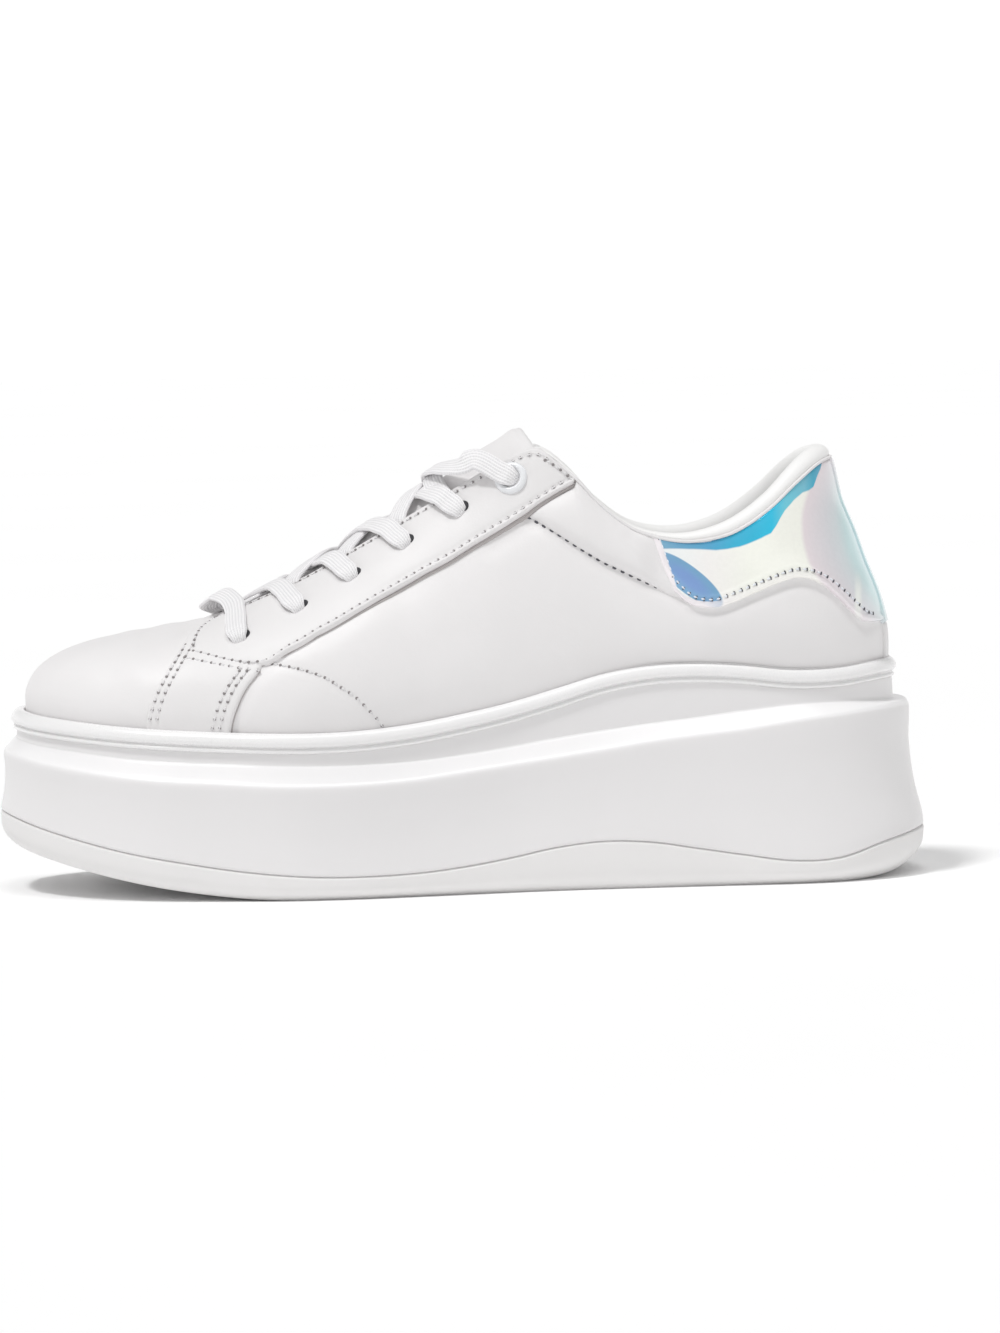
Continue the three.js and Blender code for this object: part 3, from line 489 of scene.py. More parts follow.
# %% Film
def film_finish():
    f = Finish("pearly_heel_film", specular_ior_level=0.6, coat_weight=0.5, coat_roughness=0.05)
    parts = f.node("ShaderNodeSeparateXYZ", {}, {0: f.place()})
    wander = (f.noise(70, 2) - 0.5) * 1.6
    # back to the pattern's millimetres
    x = parts * 1000 - float(SHIFT[0]) + wander
    y = Sock(f, parts.socket.node.outputs[1]) * 1000
    z = Sock(f, parts.socket.node.outputs[2]) * 1000 + wander * 0.6

    def ramp(value, low, high, stops):
        return f.node("ShaderNodeValToRGB", {"stops": [((at - low) / (high - low), colour)
                                                       for at, colour in stops]},
                      {0: (value - low) / (high - low)})

    def level(value, low, high, stops, unit):
        """A curve drawn with a ramp: stops of place and height, height in units of unit."""
        grey = ramp(value, low, high, [(at, (h / unit,) * 3) for at, h in stops])
        return grey * unit

    # cream in the middle, then over a bowed edge pink, and sea green towards the heel
    bow = (z - 105) * (z - 105) * 0.021
    round_the_back = (y * y * 0.01 - 6) * f.span(x, 26, 14)
    base = ramp(x + bow * f.span(x, 40, 30) + round_the_back, 0, 80, [
        (3, (0.58, 0.79, 0.83)), (12, (0.61, 0.79, 0.80)), (16.5, (0.70, 0.76, 0.78)),
        (21, (0.74, 0.74, 0.77)), (28.6, (0.84, 0.76, 0.79)), (29.9, (0.98, 0.985, 0.91)),
        (45, (0.98, 0.99, 0.91)), (58, (0.98, 0.96, 0.94)), (64, (0.96, 0.98, 0.97)), (74, (0.88, 0.95, 0.97))])
    # the blue band under the collar: its lower edge, by x
    blue_edge = level(x, 20, 76, [
        (20, 38.5), (21.3, 35.5), (22.5, 32.4), (23.8, 30), (25, 27.2), (26.5, 26.3), (28.6, 25.8),
        (31.4, 23.6), (34.2, 20.5), (37, 15.9), (38.4, 13.9), (41.2, 12.6), (44.1, 11.7),
        (48.3, 10.3), (51.8, 9.8), (55.3, 9.6),
        (69.4, 10.2), (75, 10.6)], 60) + 90
    blue = f.span(z - blue_edge, -0.3, 0.3)
    blue_tint = ramp(x, 20, 76, [
        (20, (0.20, 0.38, 0.55)), (25, (0.06, 0.44, 0.62)), (28, (0.20, 0.56, 0.70)),
        (34, (0.16, 0.62, 0.76)), (38, (0.02, 0.56, 0.82)), (44, (0.015, 0.48, 0.72)),
        (50, (0.03, 0.46, 0.70)), (57, (0.08, 0.40, 0.66)), (66, (0.14, 0.39, 0.60)), (75, (0.22, 0.44, 0.60))])
    # the violet pool at the front: a long ellipse
    slant = math.radians(39)
    px, pz = x - 63.6, z - 91.0
    along = px * math.cos(slant) + pz * math.sin(slant)
    across = pz * math.cos(slant) - px * math.sin(slant)
    far = (along * along * (1 / 12.6 ** 2) + across * across * (1 / 3.9 ** 2)).math("SQRT")
    pool = f.span(far, 1.04, 0.95)
    pool_tint = f.blend(f.span(far, 0.2, 0.95), (0.22, 0.37, 0.70), (0.20, 0.42, 0.64))
    # painted highlight: a narrow pale upright streak on the film near the back of the heel, low down
    painted_highlight_streak = f.span((x - 12.5 + (z - 76) * 0.02).math("ABSOLUTE"), 1.6, 0.2) * f.span(z, 93, 84)
    colour = f.blend(blue, base, blue_tint)
    colour = f.blend(pool, colour, pool_tint)
    colour = f.blend(painted_highlight_streak * 0.8, colour, (0.93, 0.96, 0.90))
    # outside the seam, the turned edge looks pale rose
    inward = Sock(f, f.node("ShaderNodeSeparateXYZ", {}, {0: f.place("UV")}).socket.node.outputs[1])
    front = f.span(x - (z - 92) * 0.31, 67.9, 68.5)
    edge = f.span(inward + wander * 0.3, 2.3, 1.9).math("MAXIMUM", front) * f.span(x, 4, 10)
    colour = f.blend(edge * f.span(x, 48, 62, 0.35, 1.0), colour, (0.93, 0.885, 0.91))
    fine = f.noise(900, 2)
    crease = f.bump(f.noise(90, 3), 0.0006, 0.25)
    return f.use(base_color=colour, normal=crease, metallic=f.span(fine, 0.3, 0.7, 0.12, 0.14),
                 roughness=f.span(fine, 0.2, 0.8, 0.17, 0.20))


FILM = film_finish()
print("heel film:", len(FILM.node_tree.nodes), "nodes")

# %% [markdown]
# ## Mesh helpers
# Every piece is a grid of points in millimetres, moved into the frame at the end. A finished piece
# stands at the origin and rides on the one body of the shoe.

# %% Grids to pieces
def new_piece(name, points, faces, finish, uv=None):
    mesh = bpy.data.meshes.new(name)
    mesh.from_pydata([tuple(p) for p in to_frame(points)], [], [tuple(int(i) for i in q) for q in faces])
    for m in finish if isinstance(finish, (list, tuple)) else [finish]:
        mesh.materials.append(m)
    if uv is not None:
        layer = mesh.uv_layers.new(name="UVMap")
        corners = np.array([uv[loop.vertex_index] for loop in mesh.loops], dtype=float)
        layer.data.foreach_set("uv", corners.ravel())
    mesh.polygons.foreach_set("use_smooth", [True] * len(mesh.polygons))
    mesh.validate()
    piece = bpy.data.objects.new(name, mesh)
    bpy.context.collection.objects.link(piece)
    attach(piece, "root")
    print(f"{name}: {len(mesh.vertices)} points, {len(mesh.polygons)} faces")
    return piece


def grid_faces(rows, columns, close_rows=False, close_columns=False, start=0):
    i, j = np.meshgrid(np.arange(rows if close_rows else rows - 1),
                       np.arange(columns if close_columns else columns - 1), indexing="ij")
    i2, j2 = (i + 1) % rows, (j + 1) % columns
    quads = np.stack([i * columns + j, i * columns + j2, i2 * columns + j2, i2 * columns + j], -1)
    return (quads.reshape(-1, 4) + start).tolist()


def outwards(piece):
    """Turns every face outwards."""
    bm = bmesh.new()
    bm.from_mesh(piece.data)
    bmesh.ops.recalc_face_normals(bm, faces=bm.faces)
    bm.to_mesh(piece.data)
    bm.free()
    return piece


def tube_piece(name, rings, finish, close=True, caps=False, uv=None):
    """Loft through rings, an array (rings, points, 3); closed over the points."""
    count, around = rings.shape[:2]
    faces = grid_faces(count, around, close, True)
    if caps:
        faces += [list(range(around))[::-1], [(count - 1) * around + j for j in range(around)]]
    return outwards(new_piece(name, rings.reshape(-1, 3), faces, finish, uv))


def fine_rings(rings, per_step):
    """More rings between the given ones, on smooth curves through them."""
    rings = np.asarray(rings)
    t = np.linspace(0, len(rings) - 1, (len(rings) - 1) * per_step + 1)
    return read_rows(rings, t)

# %% [markdown]
# ## The camera
# It looks square at the outer side from a little above, through a long lens, so both ends of the
# shoe show their true size.

# %% Camera
# degrees, metres and a lens in millimetres; back and height are shares of the shoe's own
VIEW = {"yaw": 1.0, "rise": 4.0, "roll": 1.3, "distance": 1.5, "lens": 133.7, "back": 0.045, "height": 0.47}


def make_camera():
    low, high = (np.array(c) for c in cad_box)
    middle = (low + high) / 2
    target = Vector((middle[0] - VIEW["back"] * (high[0] - low[0]), middle[1], VIEW["height"] * high[2]))
    turn, rise = math.radians(180 - VIEW["yaw"]), math.radians(VIEW["rise"])
    back = Vector((math.sin(turn) * math.cos(rise), -math.cos(turn) * math.cos(rise), math.sin(rise)))
    data = bpy.data.cameras.new("camera")
    data.lens, data.sensor_width = VIEW["lens"], 36
    data.clip_start, data.clip_end = 0.05, 50
    camera = bpy.data.objects.new("camera", data)
    bpy.context.collection.objects.link(camera)
    facing = back.to_track_quat("Z", "Y").to_matrix().to_4x4()
    camera.matrix_world = (Matrix.Translation(target + back * VIEW["distance"]) @ facing
                           @ Matrix.Rotation(-math.radians(VIEW["roll"]), 4, "Z"))
    bpy.context.scene.camera = camera
    return camera


camera = make_camera()
print("camera at", [round(v, 3) for v in camera.location])

# %% [markdown]
# ## The sole unit
# Outsole, midsole and rail are lofts: rings that follow the foot line at a stated distance, with
# heights from the sole's table. Curves through the rings round the corners as a mould does.

# %% Midsole
def wall_height(share):
    return lambda x: mix(sole_at("edge", x), sole_at("parting", x), share)


def capped_loft(name, rings, finish, last_v=1.0):
    """Closed body from rings; the ends are strips between the two sides. v runs from 0 to last_v."""
    count, n = rings.shape[:2]
    u, v = np.meshgrid(np.linspace(0, 1, n), np.linspace(0, last_v, count))
    faces = grid_faces(count, n, False, True)
    for end in (0, count - 1):
        for j in range(n // 2):
            a, b, c, d = j, j + 1, n - 1 - j, (n - j) % n
            corners = [end * n + k for k in dict.fromkeys((a, b, c, d))]
            faces.append(corners)
    uv = np.stack([u, v], -1).reshape(-1, 2)
    return outwards(new_piece(name, rings.reshape(-1, 3), faces, finish, uv))


def make_midsole():
    band = lambda extra: (lambda x: (BAND_OUT - 1.0) * rim(x) + extra)
    rings = [
        sole_ring(band(-0.9), lambda x: foot_height(x) + 0.1),
        sole_ring(band(-0.35), lambda x: foot_height(x) - 0.1),
        sole_ring(band(-0.05), lambda x: foot_height(x) - 0.8),
        sole_ring(band(0.05), lambda x: sole_at("ledge", x) + 1.6),
        sole_ring(band(0.25), lambda x: sole_at("ledge", x) + 0.6),
        sole_ring(band(0.9), lambda x: sole_at("ledge", x) - 0.1),
        sole_ring(lambda x: EDGE_OUT - 1.5, lambda x: sole_at("edge", x) + 1.35),
        sole_ring(lambda x: EDGE_OUT - 0.7, lambda x: sole_at("edge", x) + 0.4),
        sole_ring(lambda x: EDGE_OUT - 0.3, lambda x: sole_at("edge", x) - 1.0),
        sole_ring(lambda x: EDGE_OUT - 0.35, wall_height(0.14)),
        sole_ring(lambda x: EDGE_OUT - 0.5, wall_height(0.32)),
        sole_ring(lambda x: EDGE_OUT - 0.2 + 0.4 * flare(x), wall_height(0.62)),
        sole_ring(lambda x: FOOT_OUT - 0.3 + 0.95 * flare(x), wall_height(0.88)),
        sole_ring(lambda x: FOOT_OUT + flare(x), lambda x: sole_at("parting", x) + 1.3),
        sole_ring(lambda x: FOOT_OUT - 0.05 + flare(x), lambda x: sole_at("parting", x) + 0.5),
        sole_ring(lambda x: FOOT_OUT - 0.75 + flare(x), lambda x: sole_at("parting", x) + 0.03),
        sole_ring(lambda x: FOOT_OUT - 1.6 + flare(x), lambda x: sole_at("parting", x) - 0.1),
    ]
    piece = capped_loft("midsole_foam", fine_rings(rings, 4), FOAM, len(rings) - 1)
    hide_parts("midsole")


make_midsole()

# %% Outsole and tread
def make_outsole():
    drop = lambda share: (lambda x: mix(sole_at("parting", x), sole_at("ground", x), share))
    ground = lambda lift: (lambda x: sole_at("ground", x) + lift)
    rings = [
        sole_ring(lambda x: FOOT_OUT - 1.4 + flare(x), lambda x: sole_at("parting", x) + 0.1),
        sole_ring(lambda x: FOOT_OUT - 0.75 + flare(x), lambda x: sole_at("parting", x) - 0.03),
        sole_ring(lambda x: FOOT_OUT + flare(x), lambda x: sole_at("parting", x) - 0.5),
        sole_ring(lambda x: FOOT_OUT + 0.1 + flare(x), lambda x: sole_at("parting", x) - 1.3),
        sole_ring(lambda x: FOOT_OUT - 0.15 + 0.9 * flare(x), drop(0.55)),
        sole_ring(lambda x: FOOT_OUT - 1.4 + 0.72 * flare(x), drop(0.82)),
        sole_ring(lambda x: FOOT_OUT - 3.0 + 0.5 * flare(x), drop(0.97)),
        sole_ring(lambda x: FOOT_OUT - 4.2 + 0.4 * flare(x), ground(0)),
        sole_ring(-4.0, ground(0)),
        sole_ring(-5.8, ground(0.05)),
        sole_ring(-6.3, ground(LUG_DEPTH - 0.2)),
        sole_ring(-7.0, ground(LUG_DEPTH)),
    ]
    piece = capped_loft("outsole_rubber", fine_rings(rings, 3), RUBBER)
    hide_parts("outsole")


TREAD_FIELDS = ((12, 66, 10.5), (122, 250, 10.5))     # from, to, pitch of the grooves


def side_limits(x, inset):
    """Outer and inner y of the sole at stations x, inset from the foot line."""
    ring = sole_ring(-inset, lambda v: 0 * v)
    half = len(ring) // 2
    outer, inner = ring[:half + 1], np.vstack([ring[half:], ring[:1]])
    return (np.interp(x, outer[::-1, 0], outer[::-1, 1]), np.interp(x, inner[:, 0], inner[:, 1]))


def make_tread():
    """Bars between the grooves, rounded on their lower edges."""
    spans = []
    for start, end, pitch in TREAD_FIELDS:
        grooves = np.arange(start, end, pitch)
        spans += [(a + 0.21 * pitch, b - 0.21 * pitch) for a, b in zip(grooves[:-1], grooves[1:])]
    last_heel, first_ball = TREAD_FIELDS[0], TREAD_FIELDS[1]
    spans.append((last_heel[1] - 0.21 * last_heel[2] + 1.2, first_ball[0] - 0.21 * first_ball[2]))
    points, faces = [], []
    for a, b in spans:
        stations = np.concatenate([[a, a + 0.25, a + 0.8], np.linspace(a + 1.2, b - 1.2, 8)[1:-1],
                                   [b - 0.8, b - 0.25, b]])
        lifts = np.zeros(len(stations))
        lifts[[0, -1]], lifts[[1, -2]] = LUG_DEPTH + 0.3, 0.35
        outer, inner = side_limits(stations, 5.9)
        across = np.linspace(0, 1, 12)[None, :, None]
        low = np.stack([stations, outer, sole_at("ground", stations) + lifts], -1)[:, None]
        high = low.copy()
        high[..., 1] = inner[:, None]
        bottom = mix(low, high, across)
        top = bottom.copy()
        top[..., 2] = (sole_at("ground", stations) + LUG_DEPTH + 0.3)[:, None]
        ring = np.concatenate([bottom, top[:, ::-1]], axis=1)
        start = len(points)
        points += ring.reshape(-1, 3).tolist()
        faces += grid_faces(len(stations), ring.shape[1], False, True, start)
        n = ring.shape[1]
        faces += [[start + j for j in range(n)],
                  [start + (len(stations) - 1) * n + j for j in range(n)][::-1]]
    outwards(new_piece("tread_bars", points, faces, RUBBER))


make_outsole()
make_tread()

# %% Rail
def up_at_height(row, z):
    low, high = np.zeros_like(row), np.ones_like(row)
    for _ in range(30):
        half = (low + high) / 2
        below = last_point(row, half)[..., 2] < z
        low, high = np.where(below, half, low), np.where(below, high, half)
    return low


def make_rail(steps=480):
    row = np.arange(steps) / steps * ROWS
    foot, normal = foot_line(row)
    x = foot[:, 0]
    wide = BEAD_OUT * rim(x)
    height = lambda share: foot_height(x) + SEAT + share * (BEAD_HEIGHT - SEAT)

    def inner(share, out):
        p = shell(row, up_at_height(row, height(share)), np.full(steps, out))
        p[:, 2] = height(share)
        return p

    def outer(out, share):
        return np.column_stack([foot + normal * out[:, None], height(share)])

    # a thin lip at the foot, a narrow channel, and a tall round roll above
    section = [
        inner(-0.12, 0.15), outer(wide - 2.2, -0.12), outer(wide - 1.1, -0.08), outer(wide - 0.65, 0.0),
        outer(wide - 0.7, 0.08), outer(wide - 1.0, 0.14), outer(wide - 1.4, 0.20), outer(wide - 0.95, 0.26),
        outer(wide - 0.4, 0.33), outer(wide - 0.05, 0.46), outer(wide - 0.1, 0.60), outer(wide - 0.5, 0.76),
        outer(wide - 1.1, 0.89), outer(wide - 2.0, 0.98), inner(1.0, 0.9), inner(0.9, 0.15), inner(0.45, 0.15),
    ]
    rings = np.stack(section)                             # section, steps, 3
    t = np.linspace(0, len(rings), len(rings) * 4, endpoint=False)
    fine = read_rows(rings, t, True).transpose(1, 0, 2)   # steps, section, 3
    piece = tube_piece("rolled_rail", fine, GLOSS)
    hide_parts("rail")


make_rail()

# %% [markdown]
# ## Lines on the shoe
# A pattern cutter draws the pieces of an upper on the side of the last. These are the same lines,
# seen from the side, (x, z). They are carried to the curved surface of each side by search.

# %% Pattern lines
EYESTAY_LOW = [(222, 73.6), (212.5, 72.3), (195, 68.9), (188.5, 69.5), (183, 72.2), (174, 77.0),
               (159, 84.8), (145, 92.4), (134, 98.0), (124, 103.9), (115, 109.1), (105, 115.4),
               (96, 120.2), (90, 124)]
TAB_LOW = [(-10, 76.0), (3, 76.0), (9, 76.4), (12, 77.8), (20, 85.4), (25, 89.2), (30, 90.6),
           (34, 90.0), (42, 87.1), (52, 83.3), (56, 82.4), (59.5, 82.6), (62.3, 83.3), (65, 84.9),
           (67, 86.9), (68.4, 88.8), (80, 105)]
TAB_FRONT = [(68.4, 88.8), (70.2, 92.4), (71.8, 97), (73.9, 103.5)]
STRIP_FRONT = [(213.5, 75.5), (216.8, 70.4), (219.8, 65.6), (222.8, 60.0), (224.8, 53.8), (225.2, 44)]
STRIP_BACK = [(189.2, 71.5), (191.2, 67.2), (194.8, 62.6), (197.6, 57.2), (199.6, 51.0), (200.3, 44)]
ARC_SEAM = [(187.5, 69.9), (179, 67.9), (172, 65.4), (167, 62.2), (163, 59.4), (159, 55.2), (156, 51.7),
            (154, 48)]
PANEL_SEAM = [(110.5, 110.6), (103, 106), (96, 101.3), (89, 96.9), (78, 91.4), (66, 85.6)]
HOLES = [(197, 76.2), (179.5, 84.4), (163.5, 93.4), (147.5, 102.8), (131, 112.4), (115, 121.6)]

FOIL_TOP = 0.35           # from the piping down to the heel film
OVERLAY_OUT = 1.35        # face of the overlays over the skin


def line_z(line, x):
    """Height of a pattern line over x, for lines that run from front to back."""
    knots = np.array(sorted(line))
    t = np.interp(x, knots[:, 0], np.arange(len(knots)))
    return read_rows(knots[:, 1], t)


def smooth_line(line, step=0.6):
    """Points along a smooth curve through a line's knots, evenly spaced."""
    knots = np.asarray(line, float)
    fine = read_rows(knots, np.linspace(0, len(knots) - 1, 40 * len(knots)))
    run = np.r_[0, np.cumsum(np.linalg.norm(np.diff(fine, axis=0), axis=1))]
    at = np.linspace(0, run[-1], max(2, int(run[-1] / step)))
    return np.column_stack([np.interp(at, run, fine[:, c]) for c in range(fine.shape[1])])

# %% Lines carried to the last
@functools.lru_cache
def line_table(line):
    """How far up every section passes a pattern line."""
    rows = np.linspace(0, ROWS, 30 * ROWS + 1)
    up = np.linspace(0, 1, 240)
    p = last_point(rows[:, None], up)
    over = p[..., 2] - line_z(line, p[..., 0])
    below = over < 0
    k = np.clip(below.shape[-1] - 1 - np.argmax(below[:, ::-1], axis=1), 0, len(up) - 2)
    every = np.arange(len(rows))
    a, b = over[every, k], over[every, k + 1]
    return rows, up[k] + (up[1] - up[0]) * np.clip(a / np.where(a == b, -1, a - b), 0, 1)


def up_at_line(row, line):
    return np.interp(np.asarray(row) % ROWS, *line_table(tuple(line)))


def on_side(side, xz):
    """Row and up of points given by the side view: nearest node of a net, then Newton steps."""
    rows = np.linspace(0, HEEL_ROW, 260)
    ups = np.linspace(0, 1, 90)
    turn = (lambda r: r) if side > 0 else (lambda r: ROWS - r)
    net = last_point(turn(rows)[:, None], ups[None, :])[..., [0, 2]].reshape(-1, 2)
    xz = np.asarray(xz, float)
    nearest = np.array([np.argmin(((net - p) ** 2).sum(1)) for p in xz])
    row, up = rows[nearest // len(ups)], ups[nearest % len(ups)]
    for _ in range(6):
        e = 1e-3
        here = last_point(turn(row), up)[:, [0, 2]]
        dr = (last_point(turn(row + e), up)[:, [0, 2]] - here) / e
        du = (last_point(turn(row), up + e)[:, [0, 2]] - here) / e
        miss = xz - here
        det = dr[:, 0] * du[:, 1] - dr[:, 1] * du[:, 0]
        det = np.where(np.abs(det) < 1e-3, 1e9, det)
        row = np.clip(row + np.clip((miss[:, 0] * du[:, 1] - miss[:, 1] * du[:, 0]) / det, -1, 1), 0, HEEL_ROW)
        up = np.clip(up + np.clip((dr[:, 0] * miss[:, 1] - dr[:, 1] * miss[:, 0]) / det, -.1, .1), 0, 1)
    return turn(row), up

# %% [markdown]
# ## Soft leather
# New leather over foam isn't a perfect surface: it dips along seams, pulls in where a stiff overlay
# ends, and folds a little where the foot bends. Each of these is given as a trough or a
# ridge, with its place, depth and width, and they all act on every piece of leather alike.

# %% Troughs and ridges
FOLDS = [
    # line on the side, depth outwards in mm (a trough is below 0), half width
    ([(147, 88), (146.5, 76), (143, 66), (138, 57)], -0.45, 6.5),
    ([(155, 84), (153, 74), (149, 64)], 0.35, 5.0),
    ([(134, 92), (128, 80), (120, 70)], -0.35, 7.0),
    ([(104, 98), (90, 84), (74, 76)], 0.5, 8.0),
    ([(60, 74), (44, 78), (28, 77)], 0.35, 7.0),
    ([(236, 66), (232, 60), (231, 54)], -0.30, 4.0),
    ([(229, 71), (226, 64), (228, 56)], 0.25, 3.5),
    ([(206, 66), (208, 60), (210, 54)], -0.25, 5.0),
    ([(176, 60), (170, 55), (166, 51)], 0.35, 5.0),
    ([(180, 71), (168, 74), (160, 80)], 0.35, 4.0),
]


def distance_to(line, x, z):
    knots = np.asarray(line, float)
    best = np.full(np.shape(x), 1e9)
    for (ax, az), (bx, bz) in zip(knots[:-1], knots[1:]):
        dx, dz = bx - ax, bz - az
        t = np.clip(((x - ax) * dx + (z - az) * dz) / (dx * dx + dz * dz), 0, 1)
        best = np.minimum(best, np.hypot(x - ax - t * dx, z - az - t * dz))
    return best


def relief(row, up):
    """How far the leather stands out from the last, in mm."""
    row, up = np.broadcast_arrays(np.asarray(row, float) % ROWS, np.asarray(up, float))
    p = last_point(row, up)
    x, z = p[..., 0], p[..., 2]
    inner_side = row > HEEL_ROW
    flank = np.where(inner_side, ROWS - row, row)
    out = np.zeros(row.shape)
    for k, (line, depth, width) in enumerate(FOLDS):
        # the inner side has the same folds, a little moved, since no two sides crease alike
        shift = np.where(inner_side, 2.5 * math.sin(2.1 * k + 1), 0)
        d = distance_to(line, x + shift, z + 0.4 * shift)
        out = out + depth * np.exp(-(d / width) ** 2)
    # dips beside the seams, on both sides
    out = out * ease(0.2, 1.6, flank)
    groove = lambda line, depth, width: depth * np.exp(-(distance_to(line, x, z) / width) ** 2)
    below = distance_to(EYESTAY_LOW[3:], x, z)
    seams = (-0.55 * np.exp(-below / 6.0)
             + groove([(121, 102.6), (114, 106.6), (108.5, 110.2)], -0.7, 3.6)
             + groove([(k[0] - 1.2, k[1]) for k in STRIP_BACK], -0.45, 1.5)
             + groove(ARC_SEAM, -0.35, 1.1)
             + groove([(k[0], k[1] - 0.6) for k in PANEL_SEAM], -0.8, 1.8)
             + groove([(k[0], k[1] - 1.6) for k in TAB_LOW[2:]], -0.5, 2.0))
    # soft wrinkles over the toes, across the shoe
    toes = 0.16 * np.sin(x * 0.55 + 0.9 * np.sin(p[..., 1] * 0.09 + 0.5)) * ease(206, 216, x)
    toes = toes * (1 - ease(226, 246, x)) * ease(0.45, 0.75, up)
    foot = -0.35 * (1 - ease(0.10, 0.20, up))
    heel = -1.0 * np.exp(-((flank - HEEL_ROW) / 1.6) ** 2) * ease(66, 92, z) * (1 - ease(112, 126, z))
    return np.maximum(out + seams * ease(3.0, 3.6, flank) + toes + foot + heel, -1.55)

# %% [markdown]
# ## Patches of leather
# An overlay is cut from thin leather, skived at its edge and stitched down. A patch is a net of
# points over a region of the last. The net is finer near its edges, where the leather rolls over,
# and the underside is buried a little in what lies below.

# %% Patch
ROLL = 0.9                # radius of a skived edge


def edge_steps(length, count, roll):
    """Shares along an edge, close together at both ends."""
    near = np.array([0, 0.10, 0.32, 0.62, 1.0, 1.5]) * roll
    length = np.asarray(length, float)[..., None]
    inner = np.linspace(0, 1, count)[1:-1]
    first, last = near[-1] / length, 1 - near[-1] / length
    return np.concatenate([near / length, first + (last - first) * inner, 1 - near[::-1] / length], -1)


def run_length(points, axis):
    return np.linalg.norm(np.diff(points, axis=axis), axis=-1).sum(axis)


def closed_sheet(name, top, bottom, finish, uv=None):
    nt, ns = top.shape[:2]
    n = nt * ns
    faces = grid_faces(nt, ns)
    faces += [[a + n for a in reversed(q)] for q in grid_faces(nt, ns)]
    rim_line = ([(i, 0) for i in range(nt)] + [(nt - 1, j) for j in range(1, ns)]
                + [(i, ns - 1) for i in range(nt - 2, -1, -1)] + [(0, j) for j in range(ns - 2, 0, -1)])
    rim_line = [i * ns + j for i, j in rim_line]
    for a, b in zip(rim_line, rim_line[1:] + rim_line[:1]):
        faces.append([b, a, a + n, b + n])
    points = np.concatenate([top.reshape(-1, 3), bottom.reshape(-1, 3)])
    if uv is not None:
        uv = np.concatenate([uv.reshape(-1, 2)] * 2)
    return outwards(new_piece(name, points, faces, finish, uv))


def patch(name, place, finish, counts, out=OVERLAY_OUT, bury=0.5, roll=ROLL, shape=None,
          flat_sides=()):
    """place(t, s) gives rows and ups. out is the height of the face, and shape adds to it."""
    coarse_t, coarse_s = np.linspace(0, 1, 13)[:, None], np.linspace(0, 1, 13)[None, :]
    rough = last_point(*place(coarse_t, coarse_s))
    t = edge_steps(run_length(rough, 0).mean(), counts[0], roll)[:, None]
    across = last_point(*place(t, coarse_s))
    s_length = run_length(across, 1)
    s = edge_steps(np.maximum(s_length, 4.2 * roll), counts[1], roll)
    t = np.broadcast_to(t, s.shape)
    row, up = place(t, s)
    t_length = run_length(last_point(row, up), 0)[None, :]
    gaps = {"start": t * t_length, "end": (1 - t) * t_length,
            "low": s * s_length[:, None], "high": (1 - s) * s_length[:, None]}
    near = np.minimum.reduce([g for side, g in gaps.items() if side not in flat_sides])
    rolled = np.sqrt(np.clip(1 - (1 - np.clip(near / roll, 0, 1)) ** 2, 0, 1))
    skin = relief(row, up)
    height = skin - 0.25 + (out + 0.25) * rolled
    if shape:
        height = height + shape(row, up, gaps)
    top = shell(row, up, height)
    bottom = shell(row, up, np.minimum(skin - bury, height - 0.3))
    uv = np.stack([t * t_length, s * s_length[:, None]], -1)
    return closed_sheet(name, top, bottom, finish, uv)

# %% Upper
COLLAR_START = 10.9       # row where the padded collar begins
SECTION_OUT, SECTION_IN = 84, 22
PIPING_DOWN = [(0, 4.7), (45, 4.6), (52, 4.2), (65, 2.9), (76, 1.7), (92, 1.6), (103, 2.2), (130, 2.2)]


def piping_down(row):
    """How far the collar's piping lies below the top edge, from the heel forwards."""
    x = read_rows(LOOP[:, 2], np.asarray(row, float) % ROWS, True)
    return np.interp(x, *zip(*PIPING_DOWN))


def collar_share(row):
    """1 along the collar, 0 along the facings, over the rows of either side."""
    flank = np.where(row % ROWS > HEEL_ROW, ROWS - row % ROWS, row % ROWS)
    return ease(COLLAR_START, COLLAR_START + 0.8, flank)


def make_upper(steps=560):
    row = (np.arange(steps) / steps * ROWS)[:, None]
    top = 1 - (piping_down(row) - 0.2) * collar_share(row) / section_length(row[:, 0])[:, None]
    up = np.linspace(0, 1, SECTION_OUT)[None, :] * top
    outer = shell(row, up, relief(row, up))
    brim = shell(np.repeat(row, 3, 1), np.repeat(top, 3, 1),
                 np.array([[-0.35, -WALL / 2, 0.35 - WALL]]) + 0 * row)
    lift = outer[:, -1:] - outer[:, -2:-1]
    lift = lift / np.linalg.norm(lift, axis=-1, keepdims=True)
    brim = brim + lift * np.array([0.25, 0.4, 0.25])[None, :, None]
    down = np.linspace(1, 0, SECTION_IN)[None, :] * top
    inner = shell(row, down, np.full(np.broadcast(row, down).shape, -WALL))
    inner[:, -1, 2] = outer[:, 0, 2]
    rings = np.concatenate([outer, brim, inner], axis=1)
    piece = tube_piece("leather_upper", rings, [LEATHER, LINING])
    around = rings.shape[1]
    column = np.tile(np.arange(around), steps)
    piece.data.polygons.foreach_set("material_index", (column >= SECTION_OUT + 1).astype(int))
    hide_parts("upper")


make_upper()

# %% [markdown]
# ## Overlays
# The strip over the toe joint, the facings with the lace holes and the puffed panel beside the
# ankle. Each one is bounded by its pattern lines.

# %% Strips
SIDES = {"outer": 1, "inner": -1}


